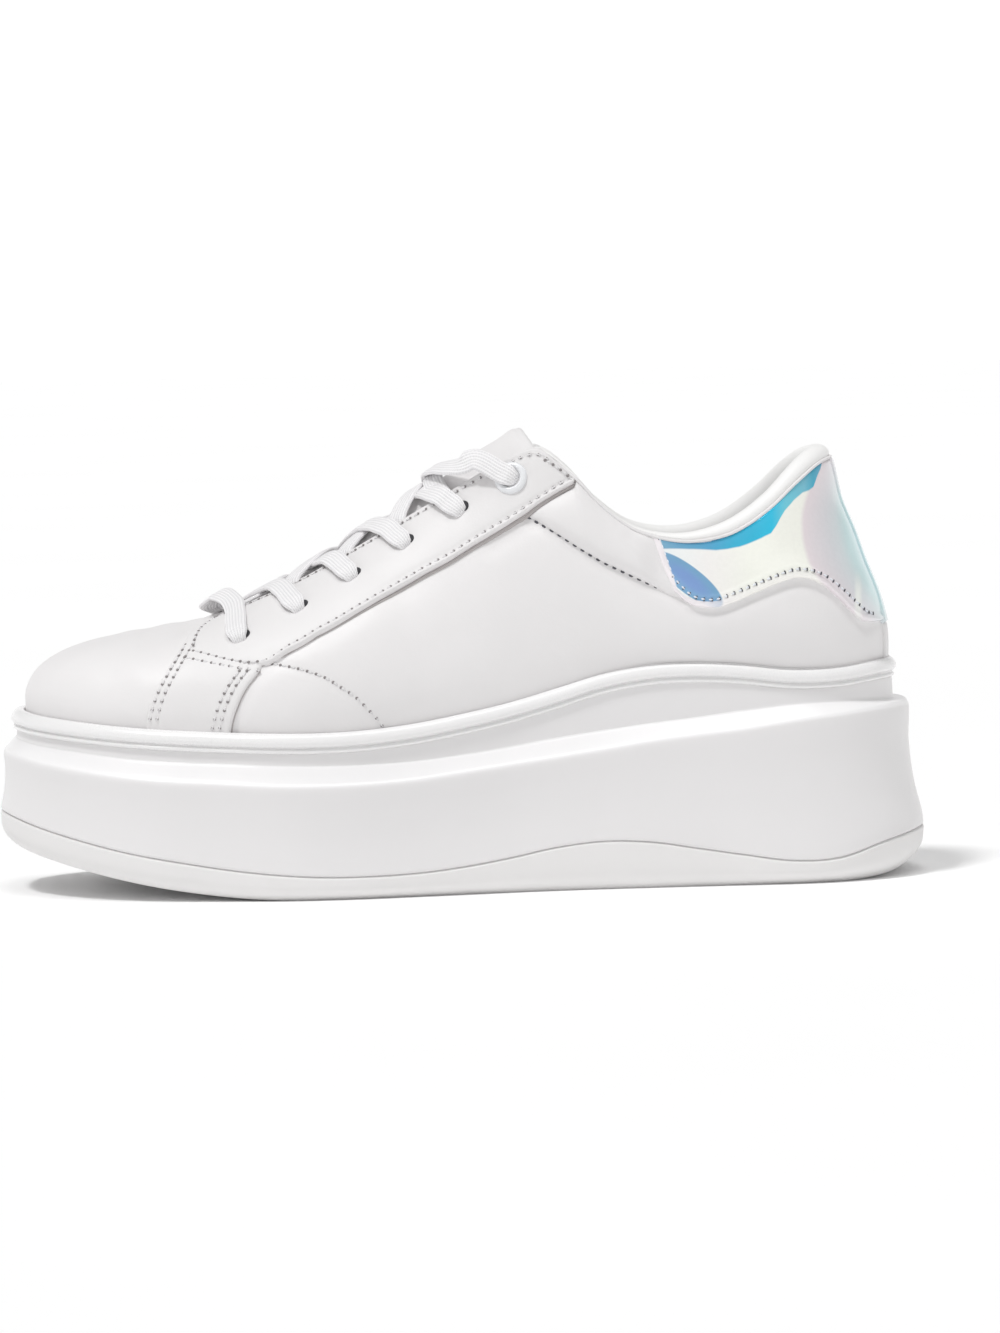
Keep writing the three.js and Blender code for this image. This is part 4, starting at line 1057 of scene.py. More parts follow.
def between(side, first, second):
    """Region of one side between two lines that both run downwards."""
    a, b = (smooth_line(line, 1.2) for line in (first, second))
    rows = []
    for line in (a, b):
        row, up = on_side(side, line)
        keep = np.linspace(0, len(line) - 1, 24)
        rows.append(np.column_stack([np.interp(keep, np.arange(len(line)), v) for v in (row, up)]))
    first_line, second_line = rows

    def place(t, s):
        t, s = np.broadcast_arrays(t, s)
        p = [read_rows(line, s * (len(line) - 1)) for line in (first_line, second_line)]
        both = mix(p[0], p[1], t[..., None])
        return both[..., 0], np.maximum(both[..., 1], 0)
    return place


def stitch_dip(*gaps_in):
    """Shallow channels at given distances from given edges."""
    def shape(row, up, gaps):
        return sum(-0.22 * np.exp(-((gaps[side] - at) / 0.55) ** 2) for side, at in gaps_in)
    return shape


for name, side in SIDES.items():
    patch(f"toe_strip_{name}", between(side, STRIP_FRONT, STRIP_BACK), TRIM_LEATHER,
          (34, 36), out=0.85, shape=stitch_dip(("start", 1.3), ("start", 3.4), ("end", 3.2), ("end", 5.3)))

# %% Facings
EYESTAY_FRONT = {"low": 4.1, "high": 3.2}
EYESTAY_BACK = float(on_side(1, [(96.2, 120.0)])[0][0])


def facing_place(side):
    def place(t, s):
        t, s = np.broadcast_arrays(t, s)
        row = mix(mix(EYESTAY_FRONT["low"], EYESTAY_FRONT["high"], s), EYESTAY_BACK, t)
        turned = row if side > 0 else ROWS - row
        low = up_at_line(turned, EYESTAY_LOW)
        high = 1 - piping_down(row) * 0.9 * collar_share(row) / section_length(row)
        return turned, mix(np.minimum(low, high - 0.006), high, s)
    return place


def facing_shape(row, up, gaps):
    # the lower edge is turned over a cord, and the leather sinks round the punched holes
    p = last_point(row, up)
    edge = (0.55 * np.exp(-((gaps["low"] - 0.75) / 0.75) ** 2)
            - 0.25 * np.exp(-((gaps["low"] - 2.1) / 0.6) ** 2))
    flat = ease(186, 195, p[..., 0])
    edge = edge * (1 - flat) - 0.7 * flat * np.exp(-gaps["low"] / 5)
    sink = sum(np.exp(-(((p[..., 0] - x) ** 2 + (p[..., 2] - z) ** 2) / 3.2 ** 2)) for x, z in HOLES[:-1])
    return edge - 0.35 * sink - 0.2 * np.exp(-((gaps["high"] - 2.4) / 0.6) ** 2)


for name, side in SIDES.items():
    piece = patch(f"facing_{name}", facing_place(side), TRIM_LEATHER, (110, 22),
                  shape=facing_shape)
    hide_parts(f"eyestay_{name}")

# %% Puffed panels
PANEL_START = float(on_side(1, [(110.3, 110.9)])[0][0])
PANEL_DOME = 2.7


def panel_place(side):
    def place(t, s):
        t, s = np.broadcast_arrays(t, s)
        row = mix(PANEL_START, 15.6, t)
        turned = row if side > 0 else ROWS - row
        low = np.maximum(up_at_line(turned, PANEL_SEAM), 0)
        high = 1 - piping_down(row) / section_length(row)
        facing = up_at_line(turned, EYESTAY_LOW) - 1.0 / section_length(row)
        high = np.where(row < EYESTAY_BACK, np.minimum(high, facing), high)
        return turned, mix(low, np.maximum(high, low + 0.004), s)
    return place


def panel_shape(row, up, gaps):
    # puffed between its seams, flat where the heel film covers it
    from_seams = (1 - np.exp(-gaps["low"] / 3.6)) * (1 - np.exp(-gaps["high"] / 3.6))
    return PANEL_DOME * from_seams * ease(71, 79, last_point(row, up)[..., 0])


for name, side in SIDES.items():
    patch(f"ankle_panel_{name}", panel_place(side), LEATHER, (60, 24), out=0.7, roll=1.2,
          shape=panel_shape, flat_sides=("end",))

# %% [markdown]
# ## Padded collar
# Foam wrapped in soft lining leather, rolled over the top edge and sewn down inside. Its section
# is drawn once, as pairs of height below the top and distance outwards, and swept round the ankle.

# %% Collar
COLLAR_SECTION = [
    # below the top, outwards
    (5.1, 0.1), (4.5, 0.55), (3.4, 0.85), (2.2, 0.65), (1.1, 0.0), (0.35, -1.0), (0.0, -2.3), (0.2, -3.7),
    (0.9, -5.0), (2.4, -6.2), (5, -7.1), (9, -7.4), (15, -7.0), (22, -6.0), (29, -4.6), (36, -3.2),
    (40, -2.4), (40, -2.0), (30, -2.0), (20, -1.9), (10, -1.8), (6, -1.2),
]


def collar_ring(row, points=66):
    t = np.linspace(0, len(COLLAR_SECTION), points, endpoint=False)
    section = read_rows(np.array(COLLAR_SECTION), t, True)
    flank = np.where(row > HEEL_ROW, ROWS - row, row)
    fade = ease(COLLAR_START - 0.35, COLLAR_START + 1.1, flank)[:, None]
    # outside, the roll ends at the piping
    outside = np.arange(points) < points * 6 / len(COLLAR_SECTION)
    shrink = np.where(outside, (piping_down(row) / 5.0)[:, None], 1)
    down = section[None, :, 0] * mix(0.30, 1, fade) * shrink
    out = section[None, :, 1] * mix(0.35, 1, fade)
    # soft hollows where the foam is sewn to the lining
    out = out - 0.35 * np.sin(row * 4.1)[:, None] * ease(8, 14, down) * (1 - ease(26, 34, down)) * fade
    length = section_length(row)[:, None]
    up = np.clip(1 - np.maximum(down, 0) / length, 0, 1)
    return shell(np.broadcast_to(row[:, None], up.shape), up, out)


def make_collar(steps=330):
    row = np.linspace(COLLAR_START - 0.3, ROWS - COLLAR_START + 0.3, steps)
    piece = tube_piece("padded_collar", collar_ring(row), LINING_LEATHER, close=False, caps=True)


make_collar()

# %% Piping
def round_cord(points, radius, sides=10):
    """A thin round cord through points (n, 3), in mm."""
    way = np.gradient(points, axis=0)
    way = way / np.linalg.norm(way, axis=1, keepdims=True)
    side = np.cross(way, (0.0, 0.0, 1.0))
    side = side / np.linalg.norm(side, axis=1, keepdims=True)
    third = np.cross(side, way)
    angle = np.linspace(0, 2 * math.pi, sides, endpoint=False)
    ends = np.ones(len(points))
    ends[[0, -1]] = 0.3
    return (points[:, None] + ends[:, None, None] * radius * (
        np.cos(angle)[None, :, None] * side[:, None] + np.sin(angle)[None, :, None] * third[:, None]))


def make_piping():
    row = np.linspace(COLLAR_START - 0.9, ROWS - COLLAR_START + 0.9, 360)
    flank = np.where(row > HEEL_ROW, ROWS - row, row)
    down = mix(1.2, piping_down(row) + 0.1, ease(COLLAR_START - 0.9, COLLAR_START + 0.5, flank))
    up = 1 - down / section_length(row)
    line = shell(row, up, np.full(len(row), 0.8))
    tube_piece("collar_piping", round_cord(line, 0.5), TRIM_LEATHER, close=False,
               caps=True)


make_piping()

# %% Painted shadow under the edges
def make_edge_shadow_cord(name, side):
    """A dark cord of painted shadow, where shade falls under the facing and behind the strip."""
    line = smooth_line([*STRIP_BACK[::-1][:-1], (190.6, 69.0), *EYESTAY_LOW[4:-1]], 0.8)
    row, up = on_side(side, line)
    middle = last_point(row, up)
    way = np.gradient(middle, axis=0)
    down = np.cross(last_normal(row, up), way)
    down = down / np.linalg.norm(down, axis=1, keepdims=True)
    down = down * np.where(down[:, 2:] > 0, -1, 1)
    radius = np.interp(line[:, 0], [96, 108, 122, 150, 188], [0.45, 0.8, 0.65, 0.46, 0.18])
    middle = shell(row, up, relief(row, up) + 0.12) + down * (radius * 0.55)[:, None]
    tube_piece(f"edge_shadow_cord_{name}", round_cord(middle, radius[:, None, None]), EDGE_SHADE,
               close=False, caps=True)


for name, side in SIDES.items():
    make_edge_shadow_cord(name, side)

# %% [markdown]
# ## Heel film and back strip
# The film lies over the heel like a saddle, with a wavy lower edge. A narrow strip covers the
# seam at the middle of the heel, film above and leather below.

# %% Heel film
TAB_FRONT_ROWS = on_side(1, smooth_line(TAB_FRONT, 1.0))[0]


def tab_place(t, s):
    t, s = np.broadcast_arrays(t, s)
    front = np.interp(s, np.linspace(0, 1, len(TAB_FRONT_ROWS)), TAB_FRONT_ROWS)
    row = mix(front, ROWS - front, t)
    low = up_at_line(row, TAB_LOW)
    high = 1 - (piping_down(row) + FOIL_TOP) / section_length(row)
    return row, mix(low, high, s)


def tab_shape(row, up, gaps):
    middle = np.exp(-((row - HEEL_ROW) / 1.2) ** 2)
    return (0.25 * np.exp(-((gaps["low"] - 0.9) / 0.8) ** 2) - 0.3 * np.exp(-((gaps["low"] - 2.6) / 0.9) ** 2)
            + 0.2 * np.sin(row * 2.3) * ease(3, 9, gaps["low"]) * (1 - middle))


tab = patch("pearly_heel_tab", tab_place, FILM, (190, 44), out=1.0, roll=0.8, shape=tab_shape)
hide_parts("heel_tab")


def strip_place(low_up, high_down):
    def place(t, s):
        t, s = np.broadcast_arrays(t, s)
        row = mix(HEEL_ROW - 1.05, HEEL_ROW + 1.05, t)
        high = 1 - high_down / section_length(row)
        return row, mix(low_up + 0 * row, high, s)
    return place


tab_foot = float(up_at_line(np.array([HEEL_ROW - 0.9]), TAB_LOW)[0])
patch("back_strip_film", strip_place(tab_foot - 0.012, piping_down(HEEL_ROW) + FOIL_TOP - 0.3), FILM,
      (16, 60), out=1.5, bury=-0.6)
patch("back_strip_leather", strip_place(0.02, section_length(float(HEEL_ROW)) * (1 - tab_foot) + 0.2),
      TRIM_LEATHER, (16, 20), out=0.9)

# %% [markdown]
# ## Tongue
# A padded tongue lies under the facings, a little domed, and its bound end stands out at the top.

# %% Tongue
TONGUE = np.array([
    # row, ahead, down, crown, under
    (3.3, 9, 2.2, 0.3, 0.10), (3.3, 4, 1.1, 0.3, 0.12), (3.9, 0, 0.2, 1.6, 0.14), (4.8, 0, 0, 3.4, 0.14),
    (6, 0, 0, 4.4, 0.14), (7, 0, 0, 5.0, 0.14), (8, 0, 0, 5.7, 0.14), (9, 0, 0, 6.4, 0.14),
    (10, 0, 0, 7.2, 0.13), (10.8, 0, 0, 7.6, 0.09)])
TONGUE_UNDER = WALL + 0.6
TONGUE_THICK = 4.0
UPWARDS = np.array([0.5, 0, 0.87])


def throat_middle(row, raised):
    row = np.asarray(row, float)
    a, b = (shell(r, np.ones_like(row), np.full(row.shape, -TONGUE_UNDER)) for r in (row, ROWS - row))
    return (a + b) / 2 + UPWARDS * np.asarray(raised)[..., None]


def tongue_point(along, across, depth):
    """along 0 at the vamp to 1 at the free end; across 0 to 1; depth under the top face."""
    along, across, depth = np.broadcast_arrays(along, across, depth)
    row, ahead, down, crown, under = np.moveaxis(read_rows(TONGUE, along * (len(TONGUE) - 1)), -1, 0)
    out = -(TONGUE_UNDER + depth)
    outer = [shell(row, 1 - under * k, out) for k in (1, 0.5, 0)]
    inner = [shell(ROWS - row, 1 - under * k, out) for k in (0, 0.5, 1)]
    knots = np.stack([*outer, throat_middle(row, crown - depth), *inner])
    knots = knots + np.stack([ahead, 0 * ahead, -down], -1)
    t = across * (len(knots) - 1)
    i = np.floor(t).astype(int)
    pick = lambda k: np.take_along_axis(knots, np.clip(i + k, 0, len(knots) - 1)[None, ..., None], 0)[0]
    return hermite(*(pick(k) for k in (-1, 0, 1, 2)), (t - i)[..., None])

# %% Tongue piece
def make_tongue():
    along = np.r_[np.linspace(0, 0.972, 90), 0.98, 0.987, 0.993, 0.997, 1.0][:, None]
    across = np.r_[0, 0.006, 0.018, 0.035, np.linspace(0.06, 0.94, 50), 0.965, 0.982, 0.994, 1][None, :]
    side = np.minimum(across, 1 - across)
    full = TONGUE_THICK * (0.6 + 0.4 * along) * (0.5 + 0.5 * np.sin(math.pi * across))
    end = np.clip((1 - along) / 0.028, 0, 1)
    rounded = np.sqrt(np.clip(1 - (1 - np.clip(side / 0.06, 0, 1)) ** 2, 0, 1)) * np.sqrt(
        np.clip(1 - (1 - end) ** 2, 0, 1))
    half = full / 2
    # the binding's seam runs a little inside the rim
    seam = 0.35 * np.exp(-(((1 - along) * 118 - 4.0) / 0.9) ** 2)
    # rolls of foam between the lace rows
    puff = 0.35 * np.cos(along * 2 * math.pi * 8.5) * np.sin(math.pi * across) * ease(0.2, 0.4, along)
    top = tongue_point(along, across, half * (1 - rounded) + seam * rounded - puff * rounded * 0.6)
    bottom = tongue_point(along, across, half * (1 + rounded))
    piece = closed_sheet("padded_tongue", top, bottom, [LEATHER, LINING])
    count = len(piece.data.polygons)
    faces_up = (along.shape[0] - 1) * (across.shape[1] - 1)
    kinds = [0] * faces_up + [1] * faces_up + [0] * (count - 2 * faces_up)
    piece.data.polygons.foreach_set("material_index", kinds)
    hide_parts("tongue")


make_tongue()

# %% Insole
def make_insole():
    inset = -(WALL + 1.2)
    dish = lambda x: 1.6 * (1 - ease(20, 90, x))
    level = lambda raised, share: (lambda x: foot_height(x) + raised + share * dish(x))
    rings = [
        sole_ring(inset, level(0.0, 0)), sole_ring(inset, level(3.0, 1)), sole_ring(inset - 0.4, level(3.7, 1)),
        sole_ring(inset - 1.3, level(4.0, 1)), sole_ring(inset - 4, level(3.8, 0.6)),
        sole_ring(inset - 9, level(3.6, 0)), sole_ring(inset - 13, level(3.5, 0)),
    ]
    piece = capped_loft("cushioned_insole", fine_rings(rings, 3), SOCK_LINING)
    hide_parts("insole")


make_insole()

# %% [markdown]
# ## Lace holes and rings
# Five punched holes on each facing and one ring at the top. A ring is a turned shape, and each
# hole is a dark dish, since the lace fills most of it.

# %% Holes
def hole_frames(side):
    """Centre on the facing, outward normal and direction up the throat, for each hole."""
    row, up = on_side(side, HOLES)
    normal = last_normal(row, up)
    centre = last_point(row, up) + normal * (OVERLAY_OUT + relief(row, up))[:, None]
    run = np.gradient(centre, axis=0)
    run = run - normal * (run * normal).sum(1, keepdims=True)
    run = run / np.linalg.norm(run, axis=1, keepdims=True)
    return centre, normal, run


def turned_shape(section, centre, normal, run, sides=40):
    """Rings of a turned section (radius, height) about a normal."""
    across = np.cross(normal, run)
    angle = np.linspace(0, 2 * math.pi, sides, endpoint=False)
    circle = np.cos(angle)[:, None] * run + np.sin(angle)[:, None] * across
    return np.stack([centre + r * circle + h * normal for r, h in section])


FRAMES = {name: hole_frames(side) for name, side in SIDES.items()}
print("holes are", np.linalg.norm(np.diff(FRAMES["outer"][0], axis=0), axis=1).round(1), "mm apart")

for name in SIDES:
    centre, normal, run = FRAMES[name]
    ring = [(2.75, -0.4), (5.0, -0.4), (5.05, 0.1), (4.85, 0.55), (4.35, 0.9), (3.8, 1.0), (3.3, 0.85),
            (2.95, 0.5), (2.75, 0.1), (2.7, -1.0), (2.72, -1.2)]
    rings = turned_shape(ring, centre[-1], normal[-1], run[-1])
    piece = tube_piece(f"ring_eyelet_{name}", rings.transpose(1, 0, 2), PLASTIC, close=True)
    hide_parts(f"eyelet_{name}")
    points, faces = [], []
    for k in range(len(HOLES)):
        start = len(points)
        # the lace pulls to one side, and the open part of the hole shows behind it
        if k == len(HOLES) - 1:
            dish, aside = [(2.75, -1.0), (2.6, -0.2), (0.8, -0.35)], 0.0
        else:
            dish, aside = [(1.9, -0.8), (1.8, 0.06), (0.6, -0.1)], 1.9
        rings = turned_shape(dish, centre[k] + aside * run[k], normal[k], run[k], 20)
        points += rings.reshape(-1, 3).tolist()
        faces += grid_faces(3, 20, False, True, start)
        faces += [[start + j for j in range(20)][::-1], [start + 40 + j for j in range(20)]]
    outwards(new_piece(f"hole_shadows_{name}", points, faces, HOLE_DARK))

# %% [markdown]
# ## Laces
# One flat lace: a bar across the lowest pair of holes, then crossings that come out from under a
# facing and go down through the next hole of the other side. The ends are tucked in at the top.

# %% Lace path
LACE_WIDE, LACE_THICK = 6.6, 1.7
OVER = 1.0


def edge_row(x):
    """Row of the last whose top edge lies at x."""
    return float(np.interp(x, LAST[::-1, 3], np.arange(len(LAST))[::-1]))


def facing_edge(side, x, lift, down=0.0):
    """Knot over the facing's edge at x, and down from it along the section."""
    row = edge_row(x)
    turned = np.array([row if side > 0 else ROWS - row])
    up = 1 - down / section_length(turned)
    return shell(turned, up, np.array([OVERLAY_OUT + lift]))[0], last_normal(turned, up)[0]


def middle_of_throat(x, lift):
    row = edge_row(x)
    crown = float(np.interp(row, TONGUE[1:, 0], TONGUE[1:, 3]))
    return throat_middle(np.array([row]), np.array([crown + lift]))[0], UPWARDS


def into_hole(name, k, towards):
    """Knots of a lace going down into a hole, coming from a point."""
    centre, normal, _ = (v[k] for v in FRAMES[name])
    reach = 0.5 if k == len(HOLES) - 1 else 0.0
    way = np.asarray(towards) - centre
    way = way - normal * (way @ normal)
    way = way / np.linalg.norm(way)
    return [(centre + normal * (OVER + 0.15 + reach) + way * 3.4, normal, 1.0),
            (centre + normal * (OVER + 0.15 + reach) + way * 0.6, normal, 0.93),
            (centre + normal * 0.1 - way * 1.25, normal - 1.1 * way, 0.66),
            (centre - normal * 2.4 - way * 0.9, normal - 2.2 * way, 0.55)]

# %% A strip of lace
def lace_strip(name, knots, steps):
    place = np.array([k[0] for k in knots])
    face = np.array([k[1] for k in knots], float)
    wide = np.array([k[2] for k in knots])
    gap = np.r_[0, np.cumsum(np.linalg.norm(np.diff(place, axis=0), axis=1))]
    t = np.linspace(0, len(knots) - 1, 400)
    path, look, share = read_rows(place, t), read_rows(face, t), read_rows(wide, t)
    run = np.r_[0, np.cumsum(np.linalg.norm(np.diff(path, axis=0), axis=1))]
    at = np.linspace(0, run[-1], steps)
    even = lambda values: np.column_stack([np.interp(at, run, values[:, c]) for c in range(3)])
    path, look, share = even(path), even(look), np.interp(at, run, share)
    way = np.gradient(path, axis=0)
    way = way / np.linalg.norm(way, axis=1, keepdims=True)
    look = look - way * (look * way).sum(1, keepdims=True)
    look = look / np.linalg.norm(look, axis=1, keepdims=True)
    side = np.cross(way, look)
    sides = 24
    angle = np.linspace(0, 2 * math.pi, sides, endpoint=False)
    c, s = np.cos(angle), np.sin(angle)
    across = np.sign(c) * np.abs(c) ** 0.75 / 2
    high = np.sign(s) * np.abs(s) ** 0.8 / 2
    high = high - 0.07 * np.exp(-(across / 0.12) ** 2) * np.sign(s)      # a tube pressed flat
    ripple = 1 + 0.025 * np.sin(at / 1.9)
    spread = (across * LACE_WIDE)[None, :, None] * (share * ripple)[:, None, None]
    lift = (high * LACE_THICK)[None, :, None] * (1 / np.sqrt(share))[:, None, None]
    rings = path[:, None] + side[:, None] * spread + look[:, None] * lift
    uv = np.stack(np.broadcast_arrays(at[:, None], (across + 0.5)[None, :]), -1).reshape(-1, 2)
    print(f"{name}: {run[-1]:.0f} mm of lace, from {gap[-1]:.0f} mm of knots")
    return tube_piece(name, rings, LACE, close=False, caps=True, uv=uv)

# %% Every lace
# how far a lace moves towards the toe between its hole and the facing's edge, and to the middle
LEAN = {1: (5.0, 10.0), 2: (5.0, 10.0), 3: (5.0, 10.0), 4: (5.5, 10.5)}


def make_laces():
    x = HOLES[0][0]
    edges = [facing_edge(1, x + 0.5, OVER + 0.6, 0.6), facing_edge(-1, x + 8.5, OVER + 0.9, 0.6)]
    middle = middle_of_throat(x + 3.0, 8.6)
    start, end = (into_hole(name, 0, edge[0]) for name, edge in zip(SIDES, edges))
    bar = lace_strip("lace_bar", [*start[::-1], (*edges[0], 1), (*middle, 1), (*edges[1], 1), *end], 120)
    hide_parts("lace_bar")
    for k in range(1, len(HOLES)):
        from_x, to_x = HOLES[k - 1][0], HOLES[k][0]
        last = k == len(HOLES) - 1
        for name, side in SIDES.items():
            on_top = (name == "outer") == (k % 2 == 1)
            turned_out = np.array([0, side * 0.85, 0.5])
            if last:
                # the top lace stands on its edge where it comes over the facing
                tuck, n0 = facing_edge(-side, from_x + 2.0, -4.2, 3.5)
                rise, n1 = facing_edge(-side, from_x + 5.0, -1.0)
                cross, n2 = middle_of_throat(to_x + 20.5, 3.6 if on_top else 2.2)
                over = facing_edge(side, to_x + 15, OVER + 0.4)[0] + np.array([0, -side * 1.6, 4.4])
                leave = facing_edge(side, to_x + 9.0, OVER + 1.6)[0] + np.array([0, 0, 2.2])
                rest = [(over, turned_out, 1.05), (leave, turned_out, 1.05)]
            else:
                to_edge, to_middle = LEAN[k]
                tuck, n0 = facing_edge(-side, from_x + 1.0, -4.2, 3.5)
                rise, n1 = facing_edge(-side, from_x + 2.6, -0.5)
                cross, n2 = middle_of_throat(to_x + to_middle, 1.9 if on_top else 0.6)
                rise = rise + (cross - rise) * 0.12
                leave, n3 = facing_edge(side, to_x + to_edge, OVER + 0.2, 0.2)
                rest = [(leave, n3 + 0.35 * turned_out, 1)]
            knots = [(tuck, n0, 1), (rise, n1, 1), (cross, n2, 1), *rest, *into_hole(name, k, leave)]
            piece = lace_strip(f"lace_crossing_{k}_{name}", knots, 90)
            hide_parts(f"lace_crossing_{k}")


make_laces()

# %% [markdown]
# ## Stitches
# Every seam is a row of short threads between needle holes. A Geometry Nodes tree walks along a
# seam's line, sets one small capsule at each step and turns it to lie on the leather. The line
# carries the direction of the surface with it. The same tree, started half a step later and with
# another size, makes the needle holes: dark capsules of painted shade at the real holes.

# %% Stitch tree
def stitch_tree():
    tree = bpy.data.node_groups.new("stitch_row", "GeometryNodeTree")
    sockets = {}
    face = tree.interface
    face.new_socket("Geometry", in_out="OUTPUT", socket_type="NodeSocketGeometry")
    face.new_socket("Geometry", in_out="INPUT", socket_type="NodeSocketGeometry")
    for key, kind in (("Pitch", "NodeSocketFloat"), ("Start", "NodeSocketFloat"), ("Size", "NodeSocketVector"),
                      ("Sink", "NodeSocketFloat"), ("Finish", "NodeSocketMaterial")):
        sockets[key] = face.new_socket(key, in_out="INPUT", socket_type=kind).identifier
    new, link = tree.nodes.new, tree.links.new
    start, end = new("NodeGroupInput"), new("NodeGroupOutput")
    curve, trim = new("GeometryNodeMeshToCurve"), new("GeometryNodeTrimCurve")
    even = new("GeometryNodeResampleCurve")
    trim.mode, even.mode = "LENGTH", "LENGTH"
    trim.inputs[5].default_value = 100.0                  # metres, so only the start is trimmed
    look = new("GeometryNodeInputNamedAttribute")
    look.data_type = "FLOAT_VECTOR"
    look.inputs["Name"].default_value = "leather_normal"
    tangent = new("GeometryNodeInputTangent")
    up, along = new("FunctionNodeAlignRotationToVector"), new("FunctionNodeAlignRotationToVector")
    up.axis, along.axis, along.pivot_axis = "Z", "X", "Z"
    ball, size = new("GeometryNodeMeshUVSphere"), new("GeometryNodeTransform")
    ball.inputs["Segments"].default_value, ball.inputs["Rings"].default_value = 6, 4
    ball.inputs["Radius"].default_value = 0.5
    smooth = new("GeometryNodeSetShadeSmooth")
    scatter = new("GeometryNodeInstanceOnPoints")
    sink, drop = new("GeometryNodeSetPosition"), new("ShaderNodeVectorMath")
    drop.operation = "SCALE"
    real, finish = new("GeometryNodeRealizeInstances"), new("GeometryNodeSetMaterial")
    link(start.outputs["Geometry"], curve.inputs["Mesh"])
    link(curve.outputs["Curve"], trim.inputs["Curve"])
    link(start.outputs["Start"], trim.inputs[4])
    link(trim.outputs["Curve"], even.inputs["Curve"])
    link(start.outputs["Pitch"], even.inputs["Length"])
    link(look.outputs["Attribute"], drop.inputs[0])
    link(start.outputs["Sink"], drop.inputs["Scale"])
    link(even.outputs["Curve"], sink.inputs["Geometry"])
    link(drop.outputs["Vector"], sink.inputs["Offset"])
    link(sink.outputs["Geometry"], scatter.inputs["Points"])
    link(ball.outputs["Mesh"], size.inputs["Geometry"])
    link(start.outputs["Size"], size.inputs["Scale"])
    link(size.outputs["Geometry"], smooth.inputs["Geometry"])
    link(smooth.outputs["Geometry"], scatter.inputs["Instance"])
    link(look.outputs["Attribute"], up.inputs["Vector"])
    link(up.outputs["Rotation"], along.inputs["Rotation"])
    link(tangent.outputs["Tangent"], along.inputs["Vector"])
    link(along.outputs["Rotation"], scatter.inputs["Rotation"])
    link(scatter.outputs["Instances"], real.inputs["Geometry"])
    link(real.outputs["Geometry"], finish.inputs["Geometry"])
    link(start.outputs["Finish"], finish.inputs["Material"])
    link(finish.outputs["Geometry"], end.inputs["Geometry"])
    return tree, sockets


STITCHES, STITCH_SOCKETS = stitch_tree()

# %% Sewing
def seam_mesh(seams):
    """One mesh of edges from seams, each a pair of points and normals in mm."""
    points = np.concatenate([p for p, _ in seams])
    normals = np.concatenate([n for _, n in seams])
    edges, start = [], 0
    for p, _ in seams:
        edges += [(start + i, start + i + 1) for i in range(len(p) - 1)]
        start += len(p)
    mesh = bpy.data.meshes.new("seam_lines")
    mesh.from_pydata([tuple(p) for p in to_frame(points)], edges, [])
    layer = mesh.attributes.new("leather_normal", "FLOAT_VECTOR", "POINT")
    layer.data.foreach_set("vector", normals.ravel())
    return mesh


def sew(name, seams, pitch, size, finish, start=0.0, sink=0.0):
    """Runs the stitch tree along seams and keeps the result as a plain mesh."""
    maker = bpy.data.objects.new(name + "_lines", seam_mesh(seams))
    bpy.context.collection.objects.link(maker)
    modifier = maker.modifiers.new("stitches", "NODES")
    modifier.node_group = STITCHES
    for key, value in (("Pitch", pitch / 1000), ("Start", start / 1000), ("Size", [v / 1000 for v in size]),
                       ("Sink", sink / 1000), ("Finish", finish)):
        modifier[STITCH_SOCKETS[key]] = value
    bpy.context.view_layer.update()
    mesh = bpy.data.meshes.new_from_object(maker.evaluated_get(bpy.context.evaluated_depsgraph_get()))
    bpy.data.objects.remove(maker)
    mesh.name = name
    piece = bpy.data.objects.new(name, mesh)
    bpy.context.collection.objects.link(piece)
    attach(piece, "root")
    print(f"{name}: {len(mesh.polygons)} faces")

# %% Seams
def shifted(line, dx, dz):
    return [(x + dx, z + dz) for x, z in line]


def inset(line, distance):
    """A line moved square to itself, to its left when it runs forwards."""
    knots = smooth_line(line, 2.0)
    way = np.gradient(knots, axis=0)
    way = way / np.linalg.norm(way, axis=1, keepdims=True)
    return knots + distance * np.column_stack([-way[:, 1], way[:, 0]])


def side_seam(side, line, out):
    points = smooth_line(line)
    row, up = on_side(side, points)
    keep = up > 0.03
    row, up = row[keep], up[keep]
    return shell(row, up, relief(row, up) + out), last_normal(row, up)


def net_seam(rows, ups, out):
    return shell(rows, ups, relief(rows, ups) + out), last_normal(rows, ups)


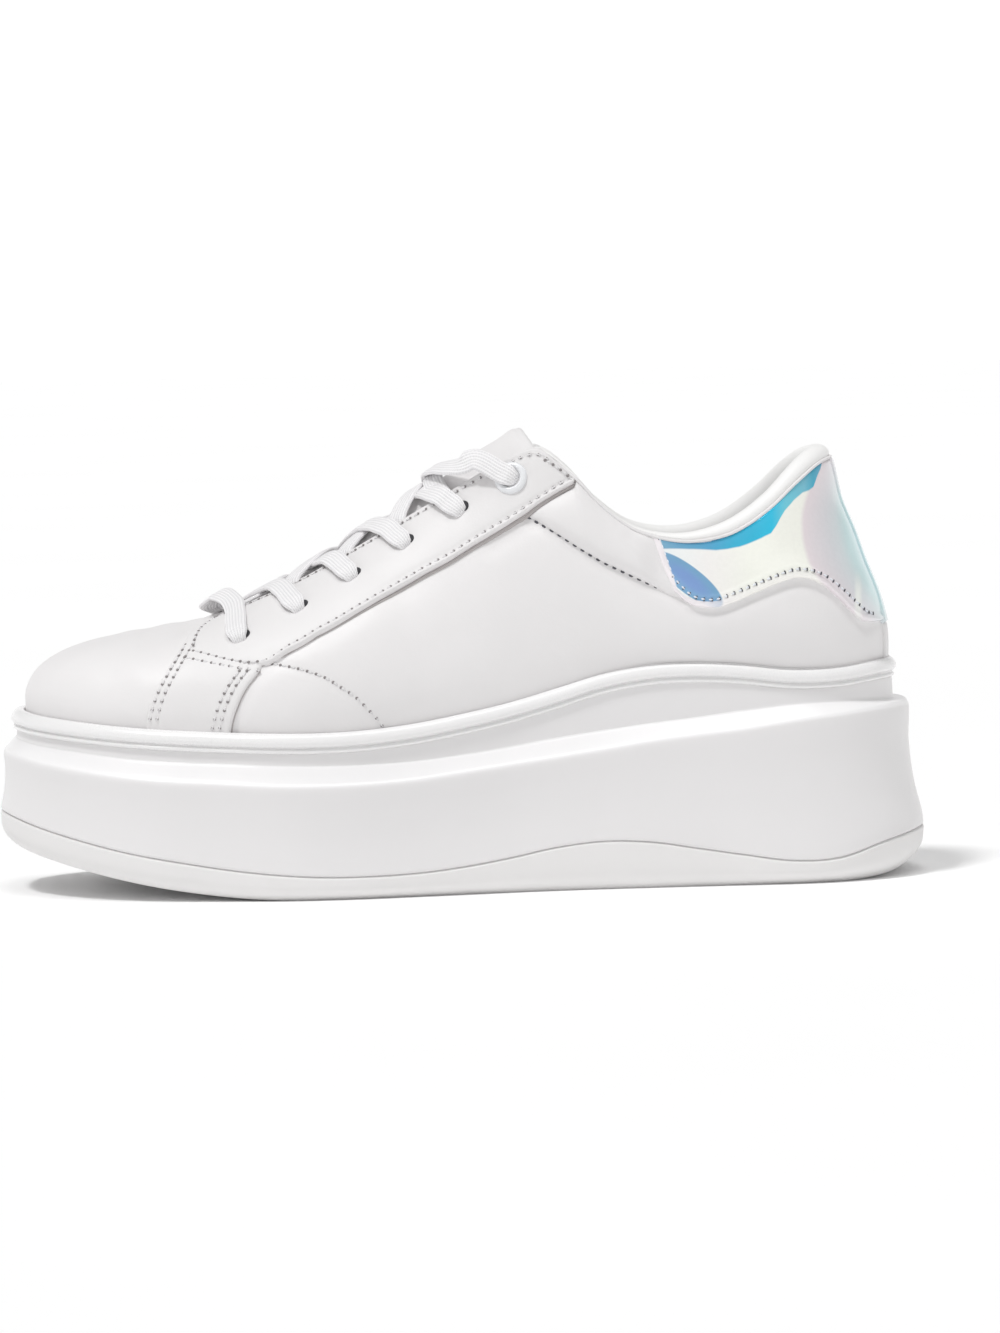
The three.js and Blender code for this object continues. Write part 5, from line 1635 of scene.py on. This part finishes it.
def all_seams():
    """Seams by kind: fine white rows, dark rows and the film's rows."""
    fine, dark, film = [], [], []
    for side in SIDES.values():
        turn = (lambda r: r) if side > 0 else (lambda r: ROWS - r)
        strip = 0.80                  # height of the strips' stitches over the skin
        fine += [side_seam(side, shifted(STRIP_FRONT[:-1], -1.3, 0), strip),
                 side_seam(side, shifted(STRIP_FRONT[:-1], -3.4, 0), strip),
                 side_seam(side, shifted(STRIP_BACK[:-1], 3.4, 0)[1:], strip),
                 side_seam(side, shifted(STRIP_BACK[:-1], 5.6, 0)[1:], strip)]
        # below the facing's front, and up its front edge to the throat
        fine.append(side_seam(side, [(213.2, 70.9), (204, 69.3), (196, 67.9), (191.5, 67.5)], strip))
        share = np.linspace(0.1, 0.9, 60)
        row = mix(EYESTAY_FRONT["low"], EYESTAY_FRONT["high"], share) + 0.28
        foot = up_at_line(turn(row), EYESTAY_LOW)
        fine.append(net_seam(turn(row), mix(foot, 1.0, share), OVERLAY_OUT - 0.05))
        # along the facing, low and high edge
        row = np.linspace(4.35, 11.6, 300)
        low = up_at_line(turn(row), EYESTAY_LOW)
        fine.append(net_seam(turn(row), low + mix(0.9, 2.1, ease(5.4, 6.4, row)) / section_length(row),
                             OVERLAY_OUT - 0.02 - 0.55 * (1 - ease(5.0, 6.0, row))))
        row = np.linspace(EYESTAY_FRONT["high"] + 0.35, 11.2, 260)
        fine.append(net_seam(turn(row), 1 - (2.4 + 1.6 * collar_share(row)) / section_length(row), OVERLAY_OUT))
        fine.append(side_seam(side, ARC_SEAM, 0.12))
        # under the collar's piping, over the facing and the puffed panel
        row = np.linspace(11.15, 14.2, 160)
        fine.append(net_seam(turn(row), 1 - (piping_down(row) + 1.5) / section_length(row),
                             mix(OVERLAY_OUT, 0.85, ease(12.1, 12.5, row))))
        dark.append(side_seam(side, [*PANEL_SEAM[:-1], (70.8, 88.0)], 0.1))
        round_tab = [*inset(TAB_LOW[2:-1], 2.4)[:-1], *shifted(TAB_FRONT[1:], -2.3, -0.6)]
        film.append(side_seam(side, round_tab, 1.05))
    return fine, dark, film


LEATHER_PITCH, FILM_PITCH = 2.7, 2.3
FINE, DARK, ON_FILM = all_seams()
sew("white_stitches", FINE, LEATHER_PITCH, (1.8, 0.8, 0.62), THREAD, start=LEATHER_PITCH / 2)
# the needle holes: real holes, drawn as dark capsules of painted shade
sew("needle_holes", FINE, LEATHER_PITCH, (0.95, 1.0, 0.44), NEEDLE_HOLE, sink=0.06)
sew("ankle_stitches", DARK, LEATHER_PITCH, (1.5, 0.6, 0.45), THREAD, start=LEATHER_PITCH / 2, sink=-0.1)
sew("ankle_needle_holes", DARK, LEATHER_PITCH, (1.6, 0.85, 0.4), NEEDLE_DARK)
sew("film_stitches", ON_FILM, FILM_PITCH, (1.4, 0.6, 0.5), FILM_THREAD, start=FILM_PITCH / 2)
sew("film_needle_holes", ON_FILM, FILM_PITCH, (0.6, 1.3, 0.3), NEEDLE_DARK)

# %% [markdown]
# ## Floor and light
# A plain white studio: a soft light from overhead, a lower one from the toe's side, and a white
# surround that is brighter near the horizon and a little duller before the toe.

# %% Floor
FLOOR_REACH = 15          # metres each way


def make_floor():
    f = Finish("studio_floor", roughness=0.9, specular_ior_level=0.0)
    paper = f.noise(3, 2)
    material = f.use(base_color=f.blend(f.span(paper, 0.3, 0.7), (0.98, 0.98, 0.98), (0.99, 0.99, 0.99)))
    mesh = bpy.data.meshes.new("floor")
    corners = [(x * FLOOR_REACH, y * FLOOR_REACH, 0) for x, y in ((-1, -1), (1, -1), (1, 1), (-1, 1))]
    mesh.from_pydata(corners, [], [(0, 1, 2, 3)])
    mesh.materials.append(material)
    floor = bpy.data.objects.new("floor", mesh)
    bpy.context.collection.objects.link(floor)

# %% Surround
HORIZON, SURROUND = 1.06, 0.43


def make_surround():
    """Soft light from all round, as from the walls of a white studio."""
    world = bpy.data.worlds.new("surround")
    world.use_nodes = True
    tree = world.node_tree
    background = tree.nodes["Background"]
    place = tree.nodes.new("ShaderNodeTexCoord")
    parts = tree.nodes.new("ShaderNodeSeparateXYZ")
    tree.links.new(place.outputs["Generated"], parts.inputs[0])

    def span(axis, start, end, from_level, to_level):
        made = tree.nodes.new("ShaderNodeMapRange")
        made.interpolation_type = "SMOOTHSTEP"
        values = {"From Min": start, "From Max": end, "To Min": from_level, "To Max": to_level}
        for key, value in values.items():
            made.inputs[key].default_value = value
        tree.links.new(parts.outputs[axis], made.inputs["Value"])
        return made

    rising = span(2, 0.12, 0.36, HORIZON, SURROUND)
    ahead = span(0, 0.1, 0.9, SURROUND, 0.7 * SURROUND)
    tree.links.new(ahead.outputs[0], rising.inputs["To Max"])
    tree.links.new(rising.outputs[0], background.inputs["Strength"])
    background.inputs["Color"].default_value = (1, 1, 1, 1)
    bpy.context.scene.world = world

# %% Lights
def make_sun(name, place, spread, strength):
    data = bpy.data.lights.new(name, "SUN")
    data.angle, data.energy = math.radians(spread), strength
    lamp = bpy.data.objects.new(name, data)
    bpy.context.collection.objects.link(lamp)
    lamp.matrix_world = Vector(place).to_track_quat("Z", "Y").to_matrix().to_4x4()


make_floor()
make_surround()
make_sun("key_light", (-0.05, 0.10, 1.0), 24, 0.52)
make_sun("low_light", (0.34, 0.27, 0.92), 9, 1.42)
bpy.context.scene.view_settings.view_transform = "Standard"
